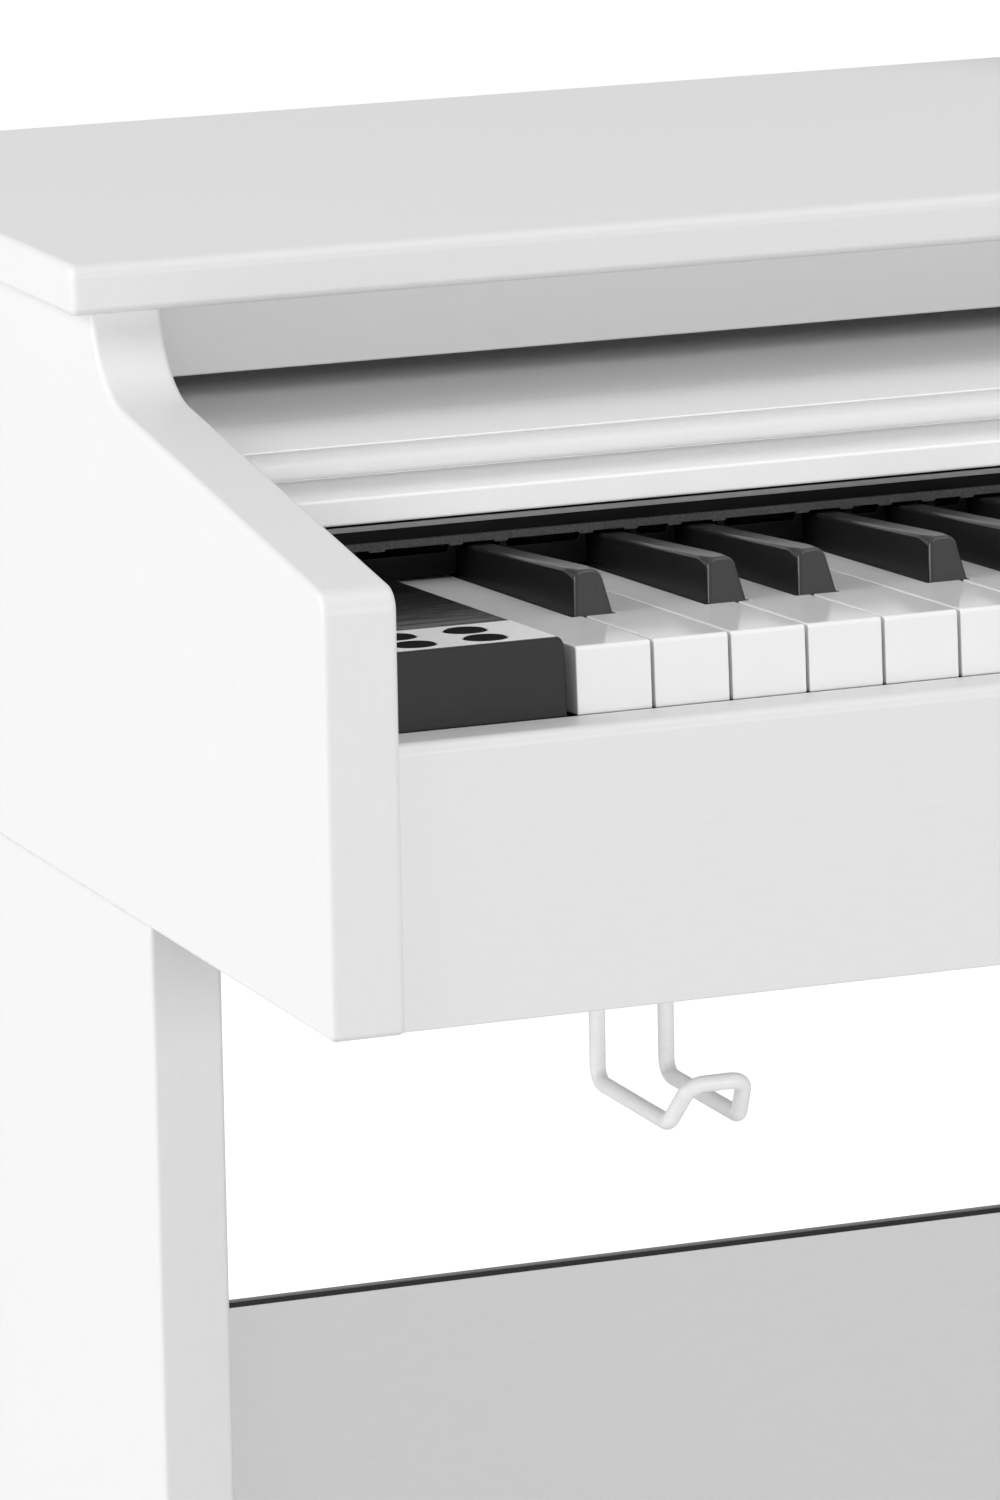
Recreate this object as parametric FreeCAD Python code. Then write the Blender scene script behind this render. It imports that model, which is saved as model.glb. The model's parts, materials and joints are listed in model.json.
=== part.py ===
"""Digital piano on its stand: a cabinet with a sliding fallboard over 88 keys, carried by two
side panels with a back board and three pedals.

Frame: millimetres, +Z up, the player sits on the -Y side and the lowest note is at -X.
The origin is on the floor, under the middle of the whole piano.
"""
import FreeCAD, Part
import math
import os

V = FreeCAD.Vector
UP, RIGHT, BACK = V(0, 0, 1), V(1, 0, 0), V(0, 1, 0)

# ---- driving dimensions ------------------------------------------------------------------
# cabinet
TOTAL_DEPTH = 449.0
TOTAL_HEIGHT = 821.0
KEY_ABOVE_BOTTOM = 100.2      # front top edge of the white keys above the cabinet's bottom
SLOT_ROOM = 7.2              # open slot between the fallboard and the fascia over it
BOARD = 22.0                  # side boards of the cabinet and of the stand
TOP_BOARD = 15.0
TOP_OVERHANG = 8.5            # the top board past the arms, at the sides and over their upright edge
TOP_EDGE_RADIUS = 3.0
ARM_EDGE = 1.5                # eased edges of the arms
ARM_NOSE_HEIGHT = 125.5       # arm corner above the cabinet bottom, before its nose is rounded
ARM_NOSE_RADIUS = 7.0
ARM_SLOPE = math.radians(8.65)
ARM_UPRIGHT_BACK = 188.1      # the arm's upright edge behind the arm's front
ARM_HOLLOW_RADIUS = 28.0
CHEEK_WIDTH = 60.0            # room between an arm and the first or last key
PANEL = 15.0                  # keybed, slip and upper front panel
BACK_PANEL = 12.0
BACK_INSET = 4.0
UPPER_PANEL_RECESS = 61.0     # behind the arms' upright edge
UPPER_PANEL_HEIGHT = 32.7
UPPER_PANEL_EDGE = 0.5
SLIP_HEIGHT = 81.2
SLIP_THICKNESS = 15.5
SLIP_RECESS = 3.0
SLIP_RADIUS = 2.5
# keys
WHITE_COUNT = 52
PITCH = 23.5
KEY_GAP = 1.0
KEY_TILT = math.radians(2.86)  # the keys fall towards the back at rest
KEY_TO_SLIP = 2.1
KEY_SHOWN = 141.0             # white key in front of the rear cover
WHITE_HEAD = 50.0             # full-width part in front of the black keys
WHITE_FRONT_HEIGHT = 19.5
WHITE_BODY_HEIGHT = 15.0
WHITE_EDGE = 1.2              # eased front top edge
BLACK_BASE = 12.0
BLACK_TOP = 8.0
BLACK_HEIGHT = 12.6
BLACK_RAKE = 4.0              # how far the front face leans back
BLACK_FALL = 0.037            # fall of a black key's top towards the back
BLACK_SHOULDER = 1.3          # eased upper edges of a black key
BLACK_ROOT = 9.0              # black key below the white tops
BLACK_CLEAR = 1.0
PIVOT_BACK = 225.0            # pivot rod behind the key fronts, along the key
PIVOT_DOWN = 12.0
PIVOT_RADIUS = 2.5
PIVOT_CLEAR = 0.05
ROD_PAST_KEYS = 4.0           # the pivot rod past the first and the last key
KEY_TAIL = 8.0                # key behind its pivot
STEM_DROP = 3.0               # the white key's tail lies this much below its top
SHARP_SHIFT = {"C": -2.35, "D": 2.35, "F": -3.36, "G": 0.0, "A": 3.36}
NOTES = ["A", "B", "C", "D", "E", "F", "G"]
SINGLE_WHITES = 6             # lowest white keys that are nodes of their own
GROUPS = ["low", "middle", "high"]
# chassis under the keys
SHEET = 2.0
CHASSIS_FRONT = 14.0
STOP_SHELF_DROP = 35.0
STOP_SHELF_DEPTH = 26.0
FELT = 3.0
CHASSIS_DEPTH = 256.0
RIB_BACK = (84.0, 152.0)      # the two ribs behind the key fronts
CONTACT_MARGIN = 4.0          # contact board past the ribs, and in from the keyboard's ends
CONTACT_BOARD = 1.6
CONTACT_HEIGHT = 7.4
CONTACT_WIDTH = 20.0
REAR_WALL_DROP = 22.0
RIB_HEIGHT = 34.0
PIVOT_RAIL = 3.0
# rear cover over the keys
COVER_SHEET = 3.0
COVER_TOP = 10.9              # above the key top level
COVER_TOOTH = 6.0             # the teeth reach this far below the key top level
COVER_NOTCH_TOP = 3.3
COVER_NOTCH_CLEAR = 0.9
COVER_FELT = 1.2
COVER_FELT_GAP = 0.1          # between the notches' tops and the felt
COVER_FELT_HEIGHT = 2.3
# cheek blocks and buttons
CHEEK_TOP = 3.2
CHEEK_GAP = 3.0               # block to key at the top
CHEEK_DRAFT = 1.6
CHEEK_WALL = 2.5
CHEEK_CLEAR = 0.3
SEAT = 0.3                    # a separate moulding above or behind what it stands against
OVERRUN = 9.0                 # cutting blocks past the piece they trim
CHEEK_RADIUS = 2.0
PLATE_LENGTH = 35.0
PLATE_THICKNESS = 1.0
PLATE_PROUD = 0.2
PLATE_BORDER = 1.0            # block around the plate's seat
PLATE_INNER_BORDER = 1.5      # and on the side of the keys
BUTTON_RADIUS = 6.1
BUTTON_CLEAR = 0.35
BUTTON_PROUD = 1.0
BUTTON_LENGTH = 5.0
BUTTON_COLLAR = 0.7           # half of the square collar past the button's side
COLLAR_CLEAR = 0.4
POWER_PROUD = 2.0
POWER_BACK = 14.0             # power button behind the right block's front
VOLUME_BACK = 48.0            # volume knob behind it
BUTTON_X = (16.2, 37.4)       # from the arm
BUTTON_Y = (9.8, 25.2)        # from the block's front
KNOB_RADIUS = 9.0
KNOB_HEIGHT = 9.0
KNOB_GAP = 0.5
KNOB_SHAFT = 3.0
KNOB_SHAFT_LENGTH = 8.0
KNOB_MARK = 1.2
# fallboard
FALL_FRONT = 132.0            # front of the rail behind the key fronts when it is open
FALL_BOTTOM = 13.0            # above the key top level
FALL_SLOPE = math.radians(1.0)
FALL_TRAVEL = 142.0
RAIL_HEIGHT = 23.1
RAIL_FACE = 8.0
RAIL_LIP_BACK = 4.0
RAIL_LIP = 1.8                # thickness of the lip over the finger groove
RAIL_GROOVE = 21.5            # the groove's depth from the rail's face
RAIL_EDGE = 0.8
RAIL_DEPTH = 26.0
RAIL_TOP_DEPTH = 45.0
FALL_THICKNESS = 8.0
FALL_STEP = 0.6
FALL_REAR_GAP = 18.0          # open panel to the guides' rear ends
FALL_SIDE_CLEAR = 2.0
GUIDE_WIDTH = 10.0
GUIDE_FLANGE = 3.0
GUIDE_CLEAR = 0.5
GUIDE_START = 200.0           # behind the key fronts
GUIDE_REAR_GAP = 27.4         # guides to the cabinet's back
# stand
STAND_FRONT_BACK = 150.1      # the stand's front edge behind the arm's front
STAND_REAR_INSET = 30.9       # the stand's rear edge in front of the cabinet's back
FOOT_REACH = 128.0            # the foot in front of the stand's upright edge
FOOT_HEIGHT = 46.0
FOOT_RADIUS = 34.0
FOOT_NOSE = 14.0
GLIDE_HEIGHT = 5.0
GLIDE_RADIUS = 11.0
GLIDE_SIDES = 8
GLIDE_INSET = 30.0
BACK_BOARD = 9.0
BACK_BOARD_TOP = 441.0
BACK_BOARD_BOTTOM = 96.0
BACK_BOARD_INSET = 14.0
TRIM = 1.6
PEDAL_BOX_FRONT = 62.0        # behind the stand's front edge
PEDAL_BOX_DEPTH = 110.0
PEDAL_BOX_HEIGHT = 82.0
PEDAL_BOX_BOTTOM = 44.0
PEDAL_BOX_WALL = 12.0
PEDAL_PITCH = 74.0
PEDAL_WIDTH = 22.0
PEDAL_THICKNESS = 6.0
PEDAL_REACH = 82.0
PEDAL_HEIGHT = 84.0
PEDAL_ROOM_UP = 3.0
PEDAL_ROOM_DOWN = 16.0
PEDAL_SIDE_ROOM = 2.0
PEDAL_AXLE = 3.0
PEDAL_BACK = 78.0             # axle behind the box's front face
PEDAL_NECK = 0.62             # width of the lever in the box, as a share of the toe
PEDAL_NECK_END = 12.0         # narrow part of a pedal in front of the box
PEDAL_TOE_START = 34.0
PEDAL_EDGE = 1.5
PEDAL_EYE = 4.0               # wall of the eye on the axle
PEDAL_CHEEK = 5.0             # thickness of the two walls that hold an axle
PEDAL_CHEEK_GAP = 1.0
ADJUSTER_RADIUS = 13.0
ADJUSTER_HEIGHT = 14.0
ADJUSTER_STEM = 4.0
ADJUSTER_ENGAGED = 8.0        # stem inside the box's floor
ADJUSTER_FORWARD = 20.0       # in front of the box's middle
WHEEL_SIDES = 12
# music rest
REST_WIDTH = 540.0
REST_HEIGHT = 186.0
REST_THICKNESS = 9.0
REST_BACK = 385.0             # foot of the rest behind the arm's front
REST_LEAN = math.radians(16.0)
REST_LEDGE = 22.0
REST_LEDGE_THICKNESS = 7.0
REST_LIP = 4.0
REST_LEDGE_INSET = 20.0
REST_CORNER = 30.0
TONGUE_WIDTH = 24.0
TONGUE_THICKNESS = 6.0
TONGUE_DEPTH = 11.0
TONGUE_SPREAD = 400.0
TONGUE_CLEAR = 0.3
# headphone hook
WIRE = 2.4
HOOK_X = 123.0                # middle of the hook from the cabinet's side
HOOK_BACK = 82.6
HOOK_SPREAD = 21.5
HOOK_DROP = 42.1
HOOK_REACH = 53.0
HOOK_TIP_REACH = 10.3
HOOK_TIP_RISE = 13.1
HOOK_TIP_SPREAD = 16.6
HOOK_BEND = 5.0
WIRE_SIDES = 12
HOOK_PLATE = 2.0
HOOK_EAR = 18.0               # plate beyond each leg
HOOK_PLATE_DEPTH = 16.0
# speakers and electronics
SPEAKER_X = 430.0
SPEAKER_HALF = 48.0           # half of the square frame and of the grille
SPEAKER_OPENING = 41.0        # half of the opening in the keybed
SPEAKER_DEPTH = 44.0
SPEAKER_RIM = 4.0
SPEAKER_DISH = 9.0
SPEAKER_NECK = 22.0           # half of the basket where it meets the magnet
SPEAKER_DUST_CAP = 12.0       # half of the cone's flat middle
SPEAKER_MAGNET = 30.0         # half of the square magnet
SPEAKER_MAGNET_HEIGHT = 16.0
GRILLE = 2.0
GRILLE_SLOTS = 7
GRILLE_SLOT = 4.0
GRILLE_PITCH = 10.0
MAIN_BOARD_WIDTH = 300.0
MAIN_BOARD_MARGIN = 15.0      # from the chassis in front and from the back board behind
MAIN_BOARD_THICKNESS = 1.6
MAIN_POST = 4.0               # half of a square post
MAIN_POST_HEIGHT = 12.0
MAIN_POST_INSET = 10.0
CHIP = 50.0
CHIP_HEIGHT = 4.4
HEAT_SINK_WIDTH = 30.0
HEAT_SINK_HEIGHT = 18.4
# sockets
JACK_PLATE = (180.0, 40.0)
JACK_PLATE_LAP = 8.0          # the plate past its window on every side
JACK_ABOVE_BED = 45.0
JACK_PITCH = 27.0
JACK_PROUD = 4.0              # sockets past the plate, inside the window
JACK_LENGTH = 20.0
JACK_FLOOR = 3.0
JACK_RADIUS = 3.3
JACK_BUSH = 7.0
PORT_WIDTH = 11.0
PORT_HEIGHT = 7.0
PORT_WALL = 2.5
HEADPHONE_PLATE = (64.0, 32.0)
HEADPHONE_FLANGE = 1.5
HEADPHONE_LAP = 6.0           # the flange past its pocket in the keybed, left and right
HEADPHONE_LAP_DEEP = 4.0      # and in front and behind
HEADPHONE_FROM_HOOK = 90.0
HEADPHONE_BACK = 60.0
# brackets and screws
BRACKET_BACK = 60.0           # behind the stand's front edge
BRACKET_LENGTH = 140.0
BRACKET_DROP = 46.0
BRACKET_FLANGE = 40.0
BRACKET_SCREW_INSET = 25.0
SCREW_HEAD = 4.0
SCREW_HEAD_HEIGHT = 2.4
SCREW_SIDES = 6

# ---- places that follow from them --------------------------------------------------------
KEYBOARD = WHITE_COUNT * PITCH
INNER = KEYBOARD + 2 * CHEEK_WIDTH
OUTER = INNER + 2 * BOARD
ARM_FRONT = -TOTAL_DEPTH / 2
REAR = TOTAL_DEPTH / 2
TOP_UNDERSIDE = TOTAL_HEIGHT - TOP_BOARD
KEY_TOP = TOP_UNDERSIDE - UPPER_PANEL_HEIGHT - SLOT_ROOM - RAIL_HEIGHT - FALL_BOTTOM
CABINET_BOTTOM = KEY_TOP - KEY_ABOVE_BOTTOM
UPRIGHT = ARM_FRONT + ARM_UPRIGHT_BACK
SLIP_FRONT = ARM_FRONT + SLIP_RECESS
SLIP_REAR = SLIP_FRONT + SLIP_THICKNESS
KEY_FRONT = SLIP_REAR + KEY_TO_SLIP
KEY_LEFT = -KEYBOARD / 2
BED_TOP = CABINET_BOTTOM + PANEL
BACK_FRONT = REAR - BACK_INSET - BACK_PANEL
STAND_FRONT = ARM_FRONT + STAND_FRONT_BACK
STAND_REAR = REAR - STAND_REAR_INSET
BACK_BOARD_FRONT = STAND_REAR - BACK_BOARD_INSET - BACK_BOARD
BOX_FRONT = STAND_FRONT + PEDAL_BOX_FRONT
FALL_OPEN = KEY_FRONT + FALL_FRONT
FALL_LOW = KEY_TOP + FALL_BOTTOM


# ---- helpers -----------------------------------------------------------------------------
def block(x0, x1, y0, y1, z0, z1):
    """A box between two opposite corners."""
    return Part.makeBox(x1 - x0, y1 - y0, z1 - z0, V(x0, y0, z0))


def outline(corners, place):
    """A closed wire through 2-D corners (a, b, radius), with every corner that has a radius
    turned into a tangent arc. place turns (a, b) into a point in space."""
    count = len(corners)
    ends = []
    edges = []
    for index, (a, b, radius) in enumerate(corners):
        before, after = corners[index - 1], corners[(index + 1) % count]
        here = V(a, b, 0)
        to_before = (V(before[0], before[1], 0) - here).normalize()
        to_after = (V(after[0], after[1], 0) - here).normalize()
        if radius == 0:
            ends.append((here, here))
            continue
        half = to_before.getAngle(to_after) / 2
        reach = radius / math.tan(half)
        start, end = here + to_before * reach, here + to_after * reach
        bisector = (to_before + to_after).normalize()
        middle = here + bisector * (radius / math.sin(half) - radius)
        ends.append((start, end))
        edges.append((index, Part.Arc(place(start), place(middle), place(end)).toShape()))
    arcs = dict(edges)
    path = []
    for index in range(count):
        if index in arcs:
            path.append(arcs[index])
        start, end = ends[index][1], ends[(index + 1) % count][0]
        if (end - start).Length > 1e-6:
            path.append(Part.makeLine(place(start), place(end)))
    return Part.Wire(path)


def along_x(corners, x0, x1):
    """A side outline of (y, z, radius) corners, extruded across the piano from x0 to x1."""
    wire = outline(corners, lambda p: V(x0, p.x, p.y))
    return Part.Face(wire).extrude(V(x1 - x0, 0, 0))


def along_z(corners, z0, z1):
    """A plan outline of (x, y, radius) corners, extruded upwards from z0 to z1."""
    wire = outline(corners, lambda p: V(p.x, p.y, z0))
    return Part.Face(wire).extrude(V(0, 0, z1 - z0))


def regular_ring(sides, radius, centre, axis):
    """A closed regular outline around an axis; the radius reaches its corners."""
    side = RIGHT if abs(axis.dot(RIGHT)) < 0.9 else BACK
    across = axis.cross(side)
    turns = [2 * math.pi * step / sides for step in range(sides)]
    ring = [centre + side * (radius * math.cos(t)) + across * (radius * math.sin(t)) for t in turns]
    return Part.makePolygon(ring + ring[:1])


def prism(sides, radius, foot, way, height):
    """A regular prism that stands on its foot and rises the given way."""
    return Part.Face(regular_ring(sides, radius, foot, way)).extrude(way * height)


def taper(foot, low_half, high_half, height):
    """A square pyramid cut off level, between two half widths, that rises from its foot."""
    body = Part.makeWedge(-low_half, 0, -low_half, -high_half, -high_half,
                          low_half, height, low_half, high_half, high_half)
    body.rotate(V(0, 0, 0), RIGHT, 90)
    body.translate(foot)
    return body


def edges_where(shape, test):
    """The shape's edges whose two ends both pass the test."""
    return [e for e in shape.Edges if all(test(v.Point) for v in e.Vertexes)]


def tilted(shape):
    """Turns a level shape with the keyboard: about the front top edge of the keys, back down."""
    shape.rotate(V(0, KEY_FRONT, KEY_TOP), RIGHT, -math.degrees(KEY_TILT))
    return shape


def sloped(shape):
    """Turns a level shape with the fallboard's run: about its front bottom edge, back up."""
    shape.rotate(V(0, FALL_OPEN, FALL_LOW), RIGHT, math.degrees(FALL_SLOPE))
    return shape


def mirror(shape):
    """The same piece on the other side of the piano."""
    return shape.mirror(V(0, 0, 0), RIGHT)


def save(name, shapes):
    """Writes one node as a STEP file; several solids share a node as one compound."""
    solids = [s for shape in shapes for s in shape.Solids]
    whole = solids[0] if len(solids) == 1 else Part.makeCompound(solids)
    bad = [s for s in solids if not s.isValid() or s.Volume <= 0]
    if bad:
        print("invalid solid in", name)
    whole.exportStep(os.path.join("parts", name + ".step"))
    print(f"{name}: {len(solids)} solid(s), {whole.Volume / 1000:.1f} cm3")


# ---- cabinet -----------------------------------------------------------------------------
def arm():
    """Left side board of the cabinet: a level bottom, an upright front with a rounded nose,
    a slope beside the keys and a hollow curve up into the upright edge under the top board."""
    nose_z = CABINET_BOTTOM + ARM_NOSE_HEIGHT
    hollow_z = nose_z + (UPRIGHT - ARM_FRONT) * math.tan(ARM_SLOPE)
    side = [
        (REAR, CABINET_BOTTOM, 0), (ARM_FRONT, CABINET_BOTTOM, 0),
        (ARM_FRONT, nose_z, ARM_NOSE_RADIUS), (UPRIGHT, hollow_z, ARM_HOLLOW_RADIUS),
        (UPRIGHT, TOP_UNDERSIDE, 0), (REAR, TOP_UNDERSIDE, 0),
    ]
    board = along_x(side, -OUTER / 2, -INNER / 2)
    shaped = edges_where(board, lambda p: p.z < TOP_UNDERSIDE + 1 and p.y < UPRIGHT + 1)
    flat = [e for e in shaped if abs(e.Vertexes[0].X - e.Vertexes[-1].X) < 1e-6]
    board = board.makeChamfer(ARM_EDGE, flat)
    return board.common(block(-OUTER / 2, -INNER / 2, ARM_FRONT, REAR, CABINET_BOTTOM, TOP_UNDERSIDE))


def top_board():
    """Lid of the cabinet, overhanging the arms at the sides and in front, all edges rounded."""
    half = OUTER / 2 + TOP_OVERHANG
    front = UPRIGHT - TOP_OVERHANG
    board = block(-half, half, front, REAR, TOP_UNDERSIDE, TOTAL_HEIGHT)
    rounded = edges_where(board, lambda p: p.z > TOTAL_HEIGHT - 1)
    rounded += edges_where(board, lambda p: p.z < TOP_UNDERSIDE + 1 and p.y < front + 1)
    rounded += [e for e in edges_where(board, lambda p: p.y < front + 1)
                if abs(e.Vertexes[0].Z - e.Vertexes[-1].Z) > 1]
    board = board.makeFillet(TOP_EDGE_RADIUS, rounded)
    return board.cut(Part.makeCompound([rest_tongue(spot, TONGUE_CLEAR, TOP_BOARD) for spot in rest_slots()]))


def upper_front_panel():
    """Narrow fascia between the arms, under the top board and over the fallboard's slot."""
    front = UPRIGHT + UPPER_PANEL_RECESS
    low = TOP_UNDERSIDE - UPPER_PANEL_HEIGHT
    side = [(front, low, UPPER_PANEL_EDGE), (front + PANEL, low, 0),
            (front + PANEL, TOP_UNDERSIDE, 0), (front, TOP_UNDERSIDE, 0)]
    return along_x(side, -INNER / 2, INNER / 2)


def keybed():
    """Bottom board of the cabinet, with the two speaker openings and the headphone recess."""
    half, y = SPEAKER_OPENING, speaker_y()
    bed = block(-INNER / 2, INNER / 2, SLIP_REAR, BACK_FRONT, CABINET_BOTTOM, BED_TOP)
    for x in (-SPEAKER_X, SPEAKER_X):
        bed = bed.cut(block(x - half, x + half, y - half, y + half, CABINET_BOTTOM - 1, BED_TOP + 1))
    return bed.cut(socket_body(0))


def key_slip():
    """Long front board below the key fronts, its top front edge rounded."""
    top = CABINET_BOTTOM + SLIP_HEIGHT
    side = [(SLIP_REAR, CABINET_BOTTOM, 0), (SLIP_FRONT, CABINET_BOTTOM, 0),
            (SLIP_FRONT, top, SLIP_RADIUS), (SLIP_REAR, top, 0)]
    return along_x(side, -INNER / 2, INNER / 2)


def jack_window():
    """Middle (x, z) of the socket opening in the cabinet's back."""
    return OUTER / 4, BED_TOP + JACK_ABOVE_BED


def cabinet_back():
    """Back board of the cabinet with a window for the socket panel."""
    back = block(-INNER / 2, INNER / 2, BACK_FRONT, BACK_FRONT + BACK_PANEL,
                 CABINET_BOTTOM, TOP_UNDERSIDE)
    x, z = jack_window()
    half_x, half_z = JACK_PLATE[0] / 2 - JACK_PLATE_LAP, JACK_PLATE[1] / 2 - JACK_PLATE_LAP
    return back.cut(block(x - half_x, x + half_x, BACK_FRONT - 1, BACK_FRONT + BACK_PANEL + 1,
                          z - half_z, z + half_z))


def jack_panel():
    """Socket panel behind the window: a plate with two round sockets and two square ports."""
    x, z = jack_window()
    half_x, half_z = JACK_PLATE[0] / 2, JACK_PLATE[1] / 2
    face = BACK_FRONT + JACK_PROUD
    inner = face - JACK_LENGTH
    plate = block(x - half_x, x + half_x, BACK_FRONT - SHEET, BACK_FRONT, z - half_z, z + half_z)
    for step in (-1.5, -0.5):
        mouth = V(x + step * JACK_PITCH, face, z)
        plate = plate.fuse(block(mouth.x - JACK_BUSH, mouth.x + JACK_BUSH, inner, face,
                                 z - JACK_BUSH, z + JACK_BUSH))
        plate = plate.cut(Part.makeCylinder(JACK_RADIUS, JACK_LENGTH - JACK_FLOOR, mouth, -BACK))
    for step in (0.5, 1.5):
        middle, wide, high = x + step * JACK_PITCH, PORT_WIDTH / 2, PORT_HEIGHT / 2
        plate = plate.fuse(block(middle - wide - PORT_WALL, middle + wide + PORT_WALL, inner, face,
                                 z - high - PORT_WALL, z + high + PORT_WALL))
        plate = plate.cut(block(middle - wide, middle + wide, inner + JACK_FLOOR, face,
                                z - high, z + high))
    return plate.removeSplitter()


# ---- keys --------------------------------------------------------------------------------
def white_name(index):
    """Letter of the white key at this place, counted from the lowest key."""
    return NOTES[index % 7]


def has_sharp(index):
    """Whether a black key lies between this white key and the next one up."""
    return white_name(index) in SHARP_SHIFT and index < WHITE_COUNT - 1


def sharp_x(index):
    """Middle of the black key above this white key."""
    return KEY_LEFT + (index + 1) * PITCH + SHARP_SHIFT[white_name(index)]


def pivot_slot(x0, x1):
    """Room for the pivot rod in a key's tail, open downwards."""
    half = PIVOT_RADIUS + PIVOT_CLEAR
    y, z = KEY_FRONT + PIVOT_BACK, KEY_TOP - PIVOT_DOWN
    return block(x0, x1, y - half, y + half, z - 2 * WHITE_BODY_HEIGHT, z + half)


def white_key(index):
    """One white key: a wide head with an eased front edge, a waist between the black keys
    and a lower tail that hooks over the pivot rod."""
    x0 = KEY_LEFT + index * PITCH + KEY_GAP / 2
    x1 = x0 + PITCH - KEY_GAP
    waist0, waist1 = x0, x1
    if index > 0 and has_sharp(index - 1):
        waist0 = sharp_x(index - 1) + BLACK_BASE / 2 + BLACK_CLEAR
    if has_sharp(index):
        waist1 = sharp_x(index) - BLACK_BASE / 2 - BLACK_CLEAR
    head_low = KEY_TOP - WHITE_FRONT_HEIGHT
    head_end = KEY_FRONT + WHITE_HEAD
    head = along_x([(KEY_FRONT, head_low, 0), (head_end, head_low, 0),
                    (head_end, KEY_TOP, 0), (KEY_FRONT + WHITE_EDGE, KEY_TOP, 0),
                    (KEY_FRONT, KEY_TOP - WHITE_EDGE, 0)], x0, x1)
    low = KEY_TOP - WHITE_BODY_HEIGHT
    step = KEY_FRONT + KEY_SHOWN + 2 * COVER_SHEET
    tail = KEY_FRONT + PIVOT_BACK + KEY_TAIL
    waist = along_x([(head_end, low, 0), (tail, low, 0), (tail, KEY_TOP - STEM_DROP, 0),
                     (step, KEY_TOP - STEM_DROP, 0), (step, KEY_TOP, 0),
                     (head_end, KEY_TOP, 0)], waist0, waist1)
    key = head.fuse(waist).cut(pivot_slot(waist0 - 1, waist1 + 1)).removeSplitter()
    return tilted(key)


def black_key(index):
    """One black key: a raked, tapering cap with eased shoulders that falls towards the back,
    on a straight stem that hooks over the pivot rod."""
    x = sharp_x(index)
    base, top = BLACK_BASE / 2, BLACK_TOP / 2
    front = KEY_FRONT + WHITE_HEAD + BLACK_CLEAR
    rake = BLACK_RAKE / BLACK_HEIGHT
    length = KEY_SHOWN + 2 * COVER_SHEET - WHITE_HEAD - BLACK_CLEAR
    ease = BLACK_SHOULDER
    shoulder = top + ease * (base - top) / BLACK_HEIGHT
    right = [(base, 0), (shoulder, BLACK_HEIGHT - ease), (top - ease, BLACK_HEIGHT)]
    ring = right + [(-a, b) for a, b in reversed(right)]
    corners = [V(x + a, front + b * rake, KEY_TOP + b) for a, b in ring]
    falling = V(0, length, -length * BLACK_FALL)
    cap = Part.Face(Part.makePolygon(corners + corners[:1])).extrude(falling)
    low = KEY_TOP - BLACK_ROOT
    root = Part.makePlane(2 * base, BLACK_ROOT, V(x + base, front, low), BACK, -RIGHT)
    root = root.extrude(falling)
    tail = KEY_FRONT + PIVOT_BACK + KEY_TAIL
    stem = block(x - base, x + base, front + length / 2, tail,
                 KEY_TOP - WHITE_BODY_HEIGHT, KEY_TOP - STEM_DROP)
    key = cap.fuse([root, stem]).cut(pivot_slot(x - base - 1, x + base + 1)).removeSplitter()
    return tilted(key)


def pivot_point():
    """The pivot axis, turned with the keyboard."""
    point = Part.Vertex(0, KEY_FRONT + PIVOT_BACK, KEY_TOP - PIVOT_DOWN)
    return tilted(point).Point


def key_pivot_rod():
    """Steel rod that all the keys rock on."""
    at = pivot_point()
    start = V(KEY_LEFT - ROD_PAST_KEYS, at.y, at.z)
    return Part.makeCylinder(PIVOT_RADIUS, KEYBOARD + 2 * ROD_PAST_KEYS, start, RIGHT)


def key_chassis():
    """Folded sheet tray under the keys: a stop shelf in front, a board shelf, a rail that
    carries the pivot rod, and a rear wall that carries the cover."""
    x0, x1 = KEY_LEFT, -KEY_LEFT
    front = KEY_FRONT + CHASSIS_FRONT
    rear = front + CHASSIS_DEPTH
    shelf = KEY_TOP - STOP_SHELF_DROP
    floor = BED_TOP + SHEET
    tray = along_x([
        (front, BED_TOP, 0), (rear, BED_TOP, 0), (rear, KEY_TOP - REAR_WALL_DROP, 0),
        (rear - SHEET, KEY_TOP - REAR_WALL_DROP, 0), (rear - SHEET, floor, 0),
        (front + SHEET, floor, 0), (front + SHEET, shelf - SHEET, 0),
        (front + STOP_SHELF_DEPTH, shelf - SHEET, 0), (front + STOP_SHELF_DEPTH, shelf, 0),
        (front, shelf, 0)], x0, x1)
    at = pivot_point()
    rail = block(x0, x1, at.y - PIVOT_RAIL / 2, at.y + PIVOT_RAIL / 2, BED_TOP, at.z)
    ribs = [block(x0, x1, y, y + SHEET, BED_TOP, BED_TOP + RIB_HEIGHT) for y in board_ribs()]
    rod_room = Part.makeCylinder(PIVOT_RADIUS, KEYBOARD + 2, V(x0 - 1, at.y, at.z), RIGHT)
    return tray.fuse([rail] + ribs).cut(rod_room).removeSplitter()


def board_ribs():
    """Depths of the two ribs that carry the contact board."""
    return [KEY_FRONT + back for back in RIB_BACK]


def contact_board():
    """Circuit board with a rubber contact strip under the keys."""
    low = BED_TOP + RIB_HEIGHT
    first, last = board_ribs()
    edge, top = CONTACT_MARGIN, low + CONTACT_BOARD
    board = block(KEY_LEFT + edge, -KEY_LEFT - edge, first - edge, last + SHEET + edge, low, top)
    middle = (first + last) / 2
    strip = block(KEY_LEFT + 2 * edge, -KEY_LEFT - 2 * edge, middle - CONTACT_WIDTH / 2,
                  middle + CONTACT_WIDTH / 2, top, top + CONTACT_HEIGHT)
    return board.fuse(strip).removeSplitter()


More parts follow.
